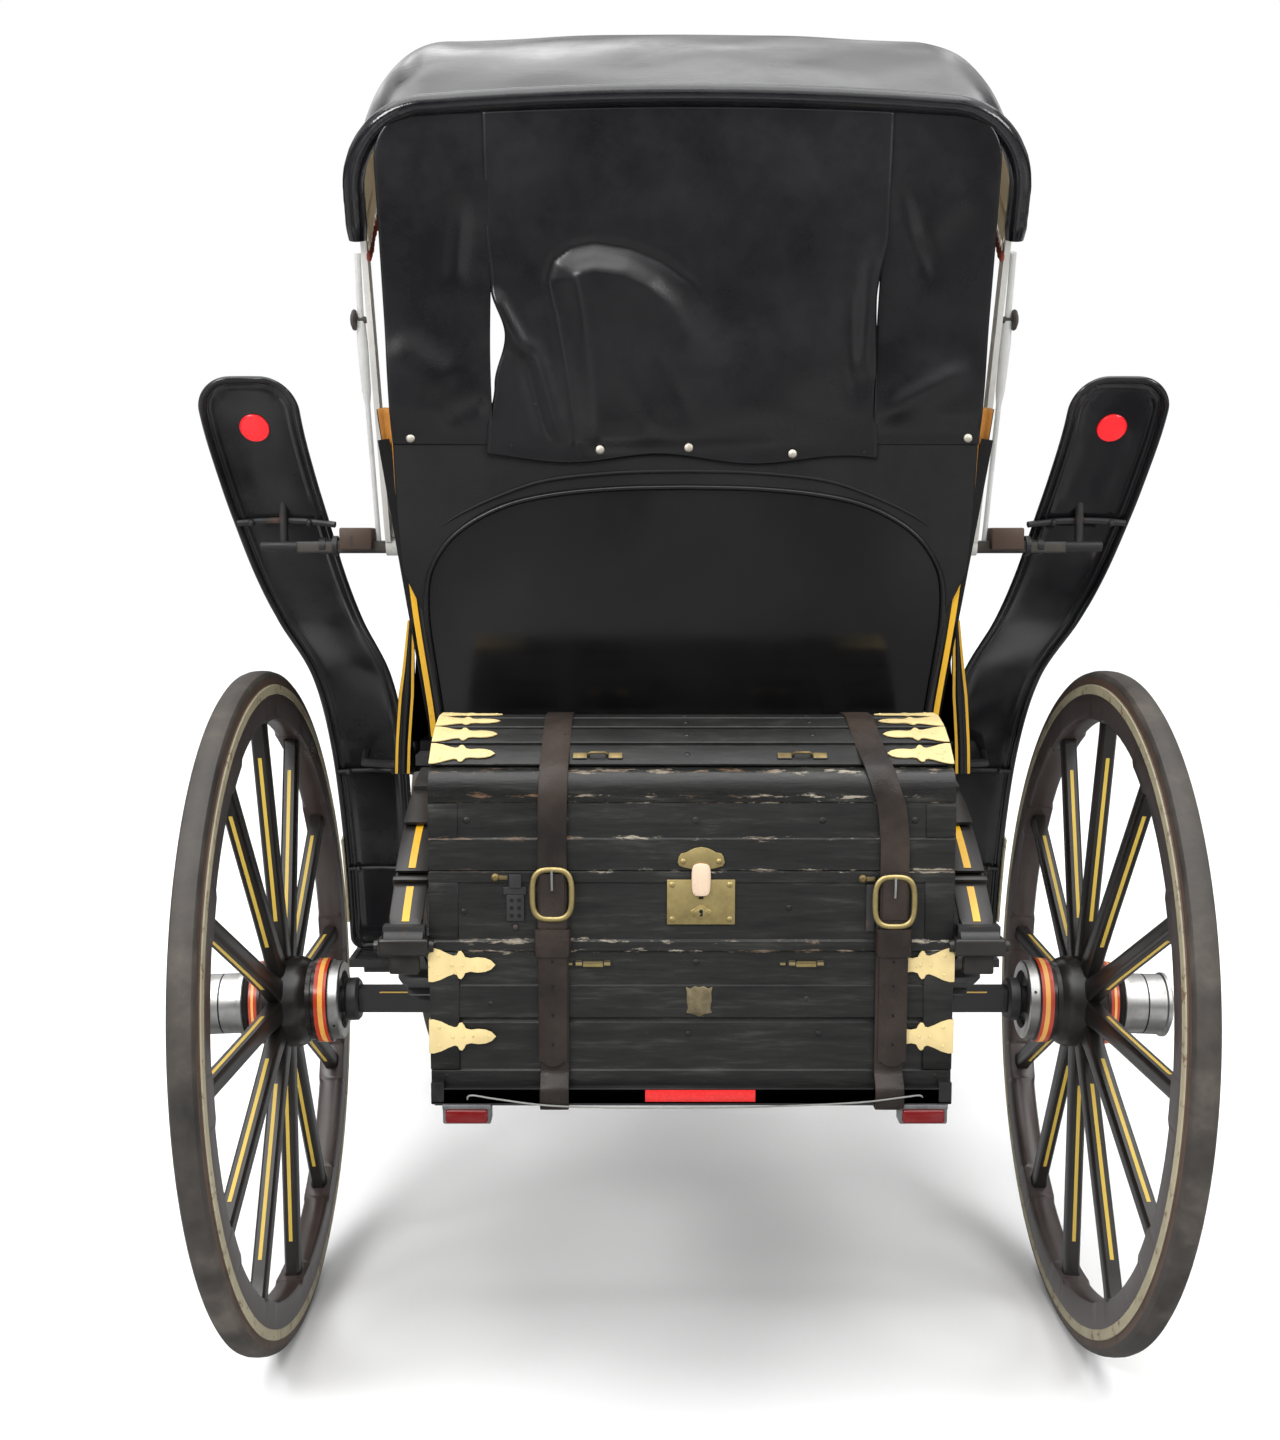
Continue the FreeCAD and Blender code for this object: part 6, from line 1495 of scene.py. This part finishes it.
stayPaint = paintedWood("stayPaint", (0.56, 0.56, 0.55), (0.20, 0.17, 0.14), 0.35, 0.66)
stayMesh, boltMesh, blockMesh = bmesh.new(), bmesh.new(), bmesh.new()
for side in (-1, 1):
    top = bowPlace(hoodBows[0][0], side * 0.4985, hoodBows[0][1] - 0.215)
    elbow = place(side * 0.5045, 0.034, 1.612)
    foot = place(side * 0.5035, hood["pivotAhead"], hood["pivot"])
    addTube(stayMesh, curve([top, top.lerp(elbow, 0.5), elbow + Vector((0, 0, 0.004))], 4), 0.0050, 10, 0,
            Vector((1, 0, 0)))
    lower = [elbow, elbow.lerp(foot, 0.10), elbow.lerp(foot, 0.30), elbow.lerp(foot, 0.36),
             elbow.lerp(foot, 0.97), foot]
    addTube(stayMesh, lower, [0.0072, 0.0085, 0.0072, 0.0042, 0.0040, 0.0075], 10, 0, Vector((1, 0, 0)))
    axis = Matrix.Translation(elbow) @ Matrix.Diagonal((side, 1, 1, 1))
    for profile in ([(-0.010, 0), (-0.010, 0.0048), (-0.006, 0.0056), (0.006, 0.0056), (0.007, 0.0150),
                     (0.0095, 0.0165), (0.0125, 0.0150), (0.0150, 0.0085), (0.0158, 0.0)],
                    [(-0.0185, 0), (-0.0185, 0.0048), (-0.014, 0.0052), (-0.010, 0.0040)]):
        addSpin(boltMesh, profile, 0, 28, axis)
    # rest block with eased edges on the prop iron, then collar, nut and pin
    level = hood["pivot"]
    addSideBlock(blockMesh, side, 0.512, 0.566, (0.145, 0.195), (level - 0.006, level + 0.030), 0, 0.003)
    addSideBlock(boltMesh, side, 0.452, 0.640, (0.158, 0.182), (level - 0.012, level + 0.008), 1, 0.003)
    shift = Matrix.Translation(place(side * 0.60, 0.170, level)) @ Matrix.Diagonal((side, 1, 1, 1))
    addSpin(boltMesh, [(-0.028, 0.009), (-0.028, 0.017), (-0.020, 0.017), (-0.020, 0.011), (-0.008, 0.011),
                       (-0.008, 0.014), (0.002, 0.014), (0.002, 0.009), (0.060, 0.0085),
                       (0.062, 0.0)], 1, 20, shift)
newPiece("landauStays", stayMesh, [stayPaint], "root", 50, ["landau_joints"])
boltDark = iron("boltDark", (0.05, 0.042, 0.034), (0.12, 0.08, 0.05), 0.45)
newPiece("stayBolts", boltMesh, [boltDark, darkIron], "root", 35)
restBrown = paintedWood("restBrown", (0.070, 0.040, 0.026), (0.02, 0.015, 0.012), 0.45, 0.6)
newPiece("restBlocks", blockMesh, [restBrown], "root", 35, ["hood_rests"])
print("hood built")

# body: lines, mouldings and side flaps

sideTurn = math.tan(math.radians(8))


def onSide(side, ahead, level, lift=0.0):
    # a point on the outer face of the leaning side board
    return place(side * (0.4034 + (level - 0.956) * sideTurn + lift), ahead, level)


bm = bmesh.new()
lineMesh = bmesh.new()
for side in (-1, 1):
    # moulding that leaves the back's edge and sweeps out over the side
    path = curve([place(side * x, ahead, level) for x, ahead, level in (
        (0.4310, 0.0200, 1.1450), (0.4355, 0.0260, 1.0900), (0.4405, 0.0340, 1.0400),
        (0.4460, 0.0430, 0.9900), (0.4510, 0.0520, 0.9400), (0.4540, 0.0600, 0.8950))], 6)
    halves = [0.004 + 0.009 * min(1, index / 14) for index in range(len(path))]
    rings = []
    for point, half in zip(path, halves):
        rings.append([point + Vector((side * x * half, y, 0)) for x, y in (
            (-1, 0.004), (-1, -0.001), (-0.7, -0.004), (0, -0.0055), (0.7, -0.004), (1, -0.001),
            (1, 0.004))])
    addRings(bm, rings, 0)
    for offset in (-0.74, 0.74):
        stripe = []
        for point, half in zip(path, halves):
            middleLine = point + Vector((side * offset * half, -0.0050, 0))
            stripe.append([middleLine + Vector((w, 0.0006 * abs(w) / 0.0022, 0))
                           for w in (-0.0022, 0.0022)])
        addSkin(lineMesh, stripe)
    # panel that swells from the side board to the moulding
    sheetRows = []
    for step in range(13):
        t = step / 12
        row = []
        for index in range(0, len(path), 2):
            point = path[index]
            inner = onSide(side, 0.030 + 0.30 * (1 - t), point.z, 0.0012)
            outer = point + Vector((-side * 0.010, 0.006, 0))
            row.append(inner.lerp(outer, smooth(0, 1, t)))
        sheetRows.append(row)
    addSkin(bm, sheetRows)
    # two lines that follow the side board's lower edge forward
    for drop in (0.018, 0.034):
        line = curve([onSide(side, ahead, level + drop, 0.0006) for ahead, level in (
            (0.36, 0.958), (0.43, 0.956), (0.475, 0.930), (0.51, 0.880), (0.54, 0.820), (0.59, 0.768),
            (0.68, 0.748), (0.86, 0.748))], 6)
        addSkin(lineMesh, [[p + Vector((0, 0, w)) for w in (-0.0022, 0.0022)] for p in line])
newPiece("sideMouldings", bm, [finishes["black_gloss"]], "root", 50)
newPiece("sideLines", lineMesh, [bodyYellow], "root", 60)

# tan leather flaps folded out beside the back's top corners, black outside
tanHide = hide("tanHide", (0.50, 0.22, 0.035), (0.30, 0.12, 0.02), 0.5, 420, 16, 0.25)
bm = bmesh.new()
for side in (-1, 1):
    rows = []
    for step in range(17):
        t = step / 16
        level = 1.468 - 0.130 * t
        root = place(side * (0.4445 - 0.004 * t), -0.052 + 0.012 * t, level)
        wide = 0.020 * (1 - t) ** 0.7 + 0.006
        row = []
        for index in range(5):
            u = index / 4
            row.append(root + Vector((side * wide * u, 0.030 * math.sin(math.pi * u) * 0.4 + 0.012 * u,
                                      0.004 * math.sin(5 * t + 3 * u))))
        rows.append(row)
    addSkin(bm, rows)
flaps = newPiece("sideFlaps", bm, [tanHide, leatherMatt], "root", 60)
addModifier(flaps, "SOLIDIFY", thickness=0.0026, offset=1, material_offset=1, material_offset_rim=1)
print("body trim built")

# cushions, filled by a short cloth run


def inflate(obj, voxel, pressure, cap):
    # swell a closed mesh as cloth, keep each point within the cap, and keep the result
    mesh = obj.data
    remesh = obj.modifiers.new("remesh", "REMESH")
    remesh.mode = "VOXEL"
    remesh.voxel_size = voxel
    graph = bpy.context.evaluated_depsgraph_get()
    fresh = bpy.data.meshes.new_from_object(obj.evaluated_get(graph))
    obj.modifiers.clear()
    obj.data = fresh
    bpy.data.meshes.remove(mesh)
    before = [vert.co.copy() for vert in fresh.vertices]
    cloth = obj.modifiers.new("cloth", "CLOTH")
    cloth.settings.use_pressure = True
    cloth.settings.uniform_pressure_force = pressure
    cloth.settings.effector_weights.gravity = 0
    cloth.settings.quality = 5
    cloth.settings.tension_stiffness = 15
    cloth.settings.compression_stiffness = 15
    cloth.settings.bending_stiffness = 0.5
    cloth.point_cache.frame_start = 1
    cloth.point_cache.frame_end = 20
    for tick in range(1, 21):
        scene.frame_set(tick)
    graph = bpy.context.evaluated_depsgraph_get()
    swollen = [vert.co.copy() for vert in obj.evaluated_get(graph).data.vertices]
    obj.modifiers.clear()
    for vert, start, end in zip(fresh.vertices, before, swollen):
        move = end - start
        vert.co = start + (move if move.length < cap else move * (cap / move.length))
    scene.frame_set(1)


def paddedBlock(name, size, turn, rows, columns, depth, cap, stands):
    # a squab: swollen by cloth, then drawn in along its sewn channels and edges
    wide, deep, thick = size
    bm = bmesh.new()
    addBlock(bm, (-wide / 2, -deep / 2, -thick / 2), (wide / 2, deep / 2, thick / 2), 0, 0.020, 4)
    mesh = bpy.data.meshes.new(name)
    bm.to_mesh(mesh)
    bm.free()
    made = bpy.data.objects.new(name, mesh)
    scene.collection.objects.link(made)
    inflate(made, 0.006, 4, cap)
    bm = bmesh.new()
    bm.from_mesh(made.data)
    old = made.data
    bpy.data.objects.remove(made)
    bpy.data.meshes.remove(old)
    reach = max(v.co.z for v in bm.verts)
    for vert in bm.verts:
        top = smooth(-0.2, 0.6, vert.co.z / reach)
        u = (vert.co.x / wide + 0.5) * columns
        v = (vert.co.y / deep + 0.5) * rows
        seam = 0.0
        if 0.2 < u < columns - 0.2:
            seam = max(seam, math.exp(-((u - round(u)) * wide / columns / 0.010) ** 2)
                       if 0 < round(u) < columns else 0)
        if rows > 1 and 0 < round(v) < rows:
            seam = max(seam, math.exp(-((v - round(v)) * deep / rows / 0.010) ** 2))
        pit = math.exp(-(((u - round(u)) * wide / columns) ** 2
                         + ((v - round(v)) * deep / rows) ** 2) / 0.016 ** 2)
        inner = 0 < round(u) < columns and 0 < round(v) < rows
        vert.co.z -= top * (depth * seam + (depth * 1.2 * pit if inner else 0))
    bmesh.ops.transform(bm, matrix=turn, verts=bm.verts)
    obj = newPiece(name, bm, [cushionHide], "root", 70, stands)
    addModifier(obj, "SUBSURF", levels=1, render_levels=1)


seat = {"size": (0.766, 0.428, 0.096), "ahead": 0.2725, "level": 1.149, "rows": 3, "columns": 5,
        "buttons": 1.1815}
squab = {"size": (0.778, 0.222, 0.052), "ahead": 0.0190, "level": 1.3270, "lean": 8.6, "rows": 1,
         "columns": 9}
cushionHide = hide("cushionHide", (0.30, 0.115, 0.028), (0.17, 0.062, 0.018), 0.42, 380, 18, 0.25)
seatTurn = Matrix.Translation(place(0, seat["ahead"], seat["level"]))
paddedBlock("seatCushion", seat["size"], seatTurn, seat["rows"], seat["columns"], 0.010, 0.012,
            ["seat_cushion"])
squabTurn = (Matrix.Translation(place(0, squab["ahead"], squab["level"]))
             @ Matrix.Rotation(math.radians(squab["lean"] + 90), 4, "X") @ Matrix.Rotation(math.pi, 4, "X"))
paddedBlock("backSquab", squab["size"], squabTurn, squab["rows"], squab["columns"], 0.009, 0.008,
            ["back_cushion"])
bm = bmesh.new()
wide, deep, thick = seat["size"]
for column in range(1, seat["columns"]):
    for row in range(1, seat["rows"]):
        across = wide * (column / seat["columns"] - 0.5)
        spot = place(across, seat["ahead"] + deep * (row / seat["rows"] - 0.5), seat["buttons"])
        addStud(bm, spot, 0.007, (1, 1, 0.5), 12, 8)
newPiece("seatButtons", bm, [cushionHide], "root", 60)
print("cushions built")

# springs, axle bed and the loose wire

spring = {"across": 0.385, "half": 0.023, "radius": 0.6139, "centre": 0.2781, "clip": -0.3345}


def leafAt(ahead, lift):
    # a point on the upper leaves' arc, lift above the main leaf's under face
    angle = math.asin(ahead / spring["radius"])
    reach = spring["radius"] + lift
    return reach * math.sin(angle), spring["centre"] + reach * math.cos(angle)


bm = bmesh.new()
stripeMesh = bmesh.new()
for side in (-1, 1):
    middleX = side * spring["across"]
    # rear half of the upper pack: each leaf shorter than the one below, with a rounded end
    for index, (end, lift) in enumerate(((-0.409, 0.0082), (-0.324, 0.0164), (-0.238, 0.0246))):
        rings = []
        for step in range(31):
            ahead = end + (-0.065 - end) * step / 30
            run = abs(ahead - end)
            half = spring["half"]
            if index == 0:
                half *= math.sqrt(max(0.03, 1 - (1 - min(1, run / 0.020)) ** 2))
            ring = []
            for x, up in ((-1, -0.0030), (-1, 0.0004), (-0.93, 0.0012), (0.93, 0.0012), (1, 0.0004),
                          (1, -0.0030)):
                y, z = leafAt(ahead, lift + up)
                ring.append(place(middleX + x * half, y, z))
            rings.append(ring)
        addRings(bm, rings, 0)
    # clip round the pack between the painted lines
    y, z = leafAt(spring["clip"], 0.004)
    turn = Matrix.Rotation(-math.asin(spring["clip"] / spring["radius"]), 4, "X")
    clipHalf = spring["half"] + 0.0015
    addTurnedBlock(bm, Matrix.Translation(place(middleX, y, z)) @ turn, (-clipHalf, -0.004, -0.004),
                   (clipHalf, 0.004, 0.0125), 0, 0.0015)
    for start, end, lift in ((-0.392, -0.343, 0.0102), (-0.320, -0.232, 0.0184)):
        rows = []
        for step in range(9):
            y, z = leafAt(start + (end - start) * step / 8, lift)
            rows.append([place(middleX + x * 0.0050, y, z) for x in (-1, 1)])
        addSkin(stripeMesh, rows)
    # shackle block round the rear eye, with its bolt
    addSlab(bm, (middleX - 0.034, middleX + 0.034), (-0.426, -0.398), (0.716, 0.740), 0, 0.004, 3)
    addSlab(bm, (middleX - 0.020, middleX + 0.020), (-0.418, -0.400), (0.690, 0.720), 0, 0.003)
    addSpin(bm, [(-0.040, 0.0), (-0.040, 0.008), (-0.034, 0.009), (0.034, 0.009), (0.040, 0.008),
                 (0.040, 0.0)], 0, 20,
            Matrix.Translation(place(middleX, -0.412, 0.728)))
springBlack = coachPaint("springBlack", (0.010, 0.0085, 0.0075), 0.28, 0.012)
newPiece("springTops", bm, [springBlack], "root", 40)
newPiece("springLines", stripeMesh, [bodyYellow], "root", 60)

# painted line along the axle bed's upper edge
goldLine = coachPaint("goldLine", (0.42, 0.27, 0.05), 0.3, 0.02)
bm = bmesh.new()
for side in (-1, 1):
    addSideBlock(bm, side, 0.350, 0.485, (-0.0188, -0.0170), (0.5518, 0.5540))
newPiece("axleLine", bm, [goldLine], "root", 40)

# grey wire that hangs along the rack from one lamp to the other
wire = {"diameter": 0.0024}
wireGrey = hide("wireGrey", (0.20, 0.20, 0.19), (0.12, 0.12, 0.11), 0.5, 900, 40, 0.1)
wirePath = curve([place(x, ahead, level) for x, ahead, level in (
    (-0.302, -0.4235, 0.5165), (-0.296, -0.434, 0.5290), (-0.262, -0.4365, 0.5250),
    (-0.195, -0.4375, 0.5165), (-0.110, -0.4370, 0.5130), (-0.030, -0.4365, 0.5125),
    (0.060, -0.4370, 0.5135), (0.150, -0.4375, 0.5165), (0.230, -0.4375, 0.5210), (0.285, -0.4350, 0.5270),
    (0.308, -0.4290, 0.5270), (0.312, -0.4235, 0.5165))], 6)
bm = bmesh.new()
addTube(bm, wirePath, wire["diameter"] / 2, 8, 0)
lampWire = newPiece("lampWire", bm, [wireGrey], "root", 70)
print("running gear built")

# floor, world and lamps
stage = {"floor": 60, "white": 0.93}
bm = bmesh.new()
bmesh.ops.create_grid(bm, x_segments=1, y_segments=1, size=stage["floor"] / 2)
floorMesh = bpy.data.meshes.new("floor")
bm.to_mesh(floorMesh)
bm.free()
floor = bpy.data.objects.new("floor", floorMesh)
scene.collection.objects.link(floor)
floor.visible_glossy = False
made, tree, shader = newMaterial("studioFloor")
shader.inputs["Base Color"].default_value = (*[stage["white"]] * 3, 1)
shader.inputs["Roughness"].default_value = 0.55
floorMesh.materials.append(made)

# white to the camera; the pieces are lit by a bright ceiling over darker walls
world = bpy.data.worlds.new("studio")
scene.world = world
world.use_nodes = True
tree = world.node_tree
room = tree.nodes["Background"]
coord = tree.nodes.new("ShaderNodeTexCoord")
split = tree.nodes.new("ShaderNodeSeparateXYZ")
link(tree, coord, "Generated", split, "Vector")
walls = ramp(tree, spread(tree, split, "Z", 0, 1, -1, 1), "Result", [
    (0.0, (0.25, 0.25, 0.25)), (0.36, (0.75, 0.75, 0.75)), (0.49, (0.50, 0.50, 0.50)),
    (0.52, (0.06, 0.06, 0.06)), (0.60, (0.08, 0.08, 0.08)), (0.68, (0.85, 0.85, 0.85)),
    (1.0, (1.0, 1.0, 1.0))])
patches = noise(tree, objectPoint(tree), 2.6, 4, 0.6, 0.4)
blotches = ramp(tree, patches, "Fac", [(0.40, (0.20, 0.20, 0.21)), (0.53, (0.9, 0.9, 0.9)),
                                       (0.66, (2.4, 2.4, 2.4))])
tree.links.new(mixColour(tree, None, "", walls, blotches, "MULTIPLY"), room.inputs["Color"])
room.inputs["Strength"].default_value = 1.1
white = tree.nodes.new("ShaderNodeBackground")
white.inputs["Color"].default_value = (1, 1, 1, 1)
paths = tree.nodes.new("ShaderNodeLightPath")
either = tree.nodes.new("ShaderNodeMixShader")
link(tree, paths, "Is Camera Ray", either, "Fac")
tree.links.new(room.outputs[0], either.inputs[1])
tree.links.new(white.outputs[0], either.inputs[2])
tree.links.new(either.outputs[0], tree.nodes["World Output"].inputs["Surface"])


def areaLamp(name, spot, aim, power, width, height):
    data = bpy.data.lights.new(name, "AREA")
    data.shape = "RECTANGLE"
    data.size = width
    data.size_y = height
    data.energy = power
    lamp = bpy.data.objects.new(name, data)
    lamp.location = spot
    lamp.rotation_euler = (Vector(aim) - Vector(spot)).to_track_quat("-Z", "Y").to_euler()
    scene.collection.objects.link(lamp)


areaLamp("ceiling", (0, axleY, 4.2), (0, axleY + 0.5, 0), 90, 5, 5)
areaLamp("leftBank", (-2.6, axleY - 3.2, 3.4), (0, axleY, 1.4), 90, 1.8, 0.8)
areaLamp("rightBank", (3.2, axleY - 2.6, 3.2), (0, axleY, 1.2), 50, 1.6, 0.8)
sun = bpy.data.lights.new("overhead", "SUN")
sun.energy = 2.4
sun.angle = math.radians(70)
overhead = bpy.data.objects.new("overhead", sun)
overhead.rotation_euler = (math.radians(12), math.radians(-6), 0)
scene.collection.objects.link(overhead)

scene.view_settings.view_transform = "Standard"
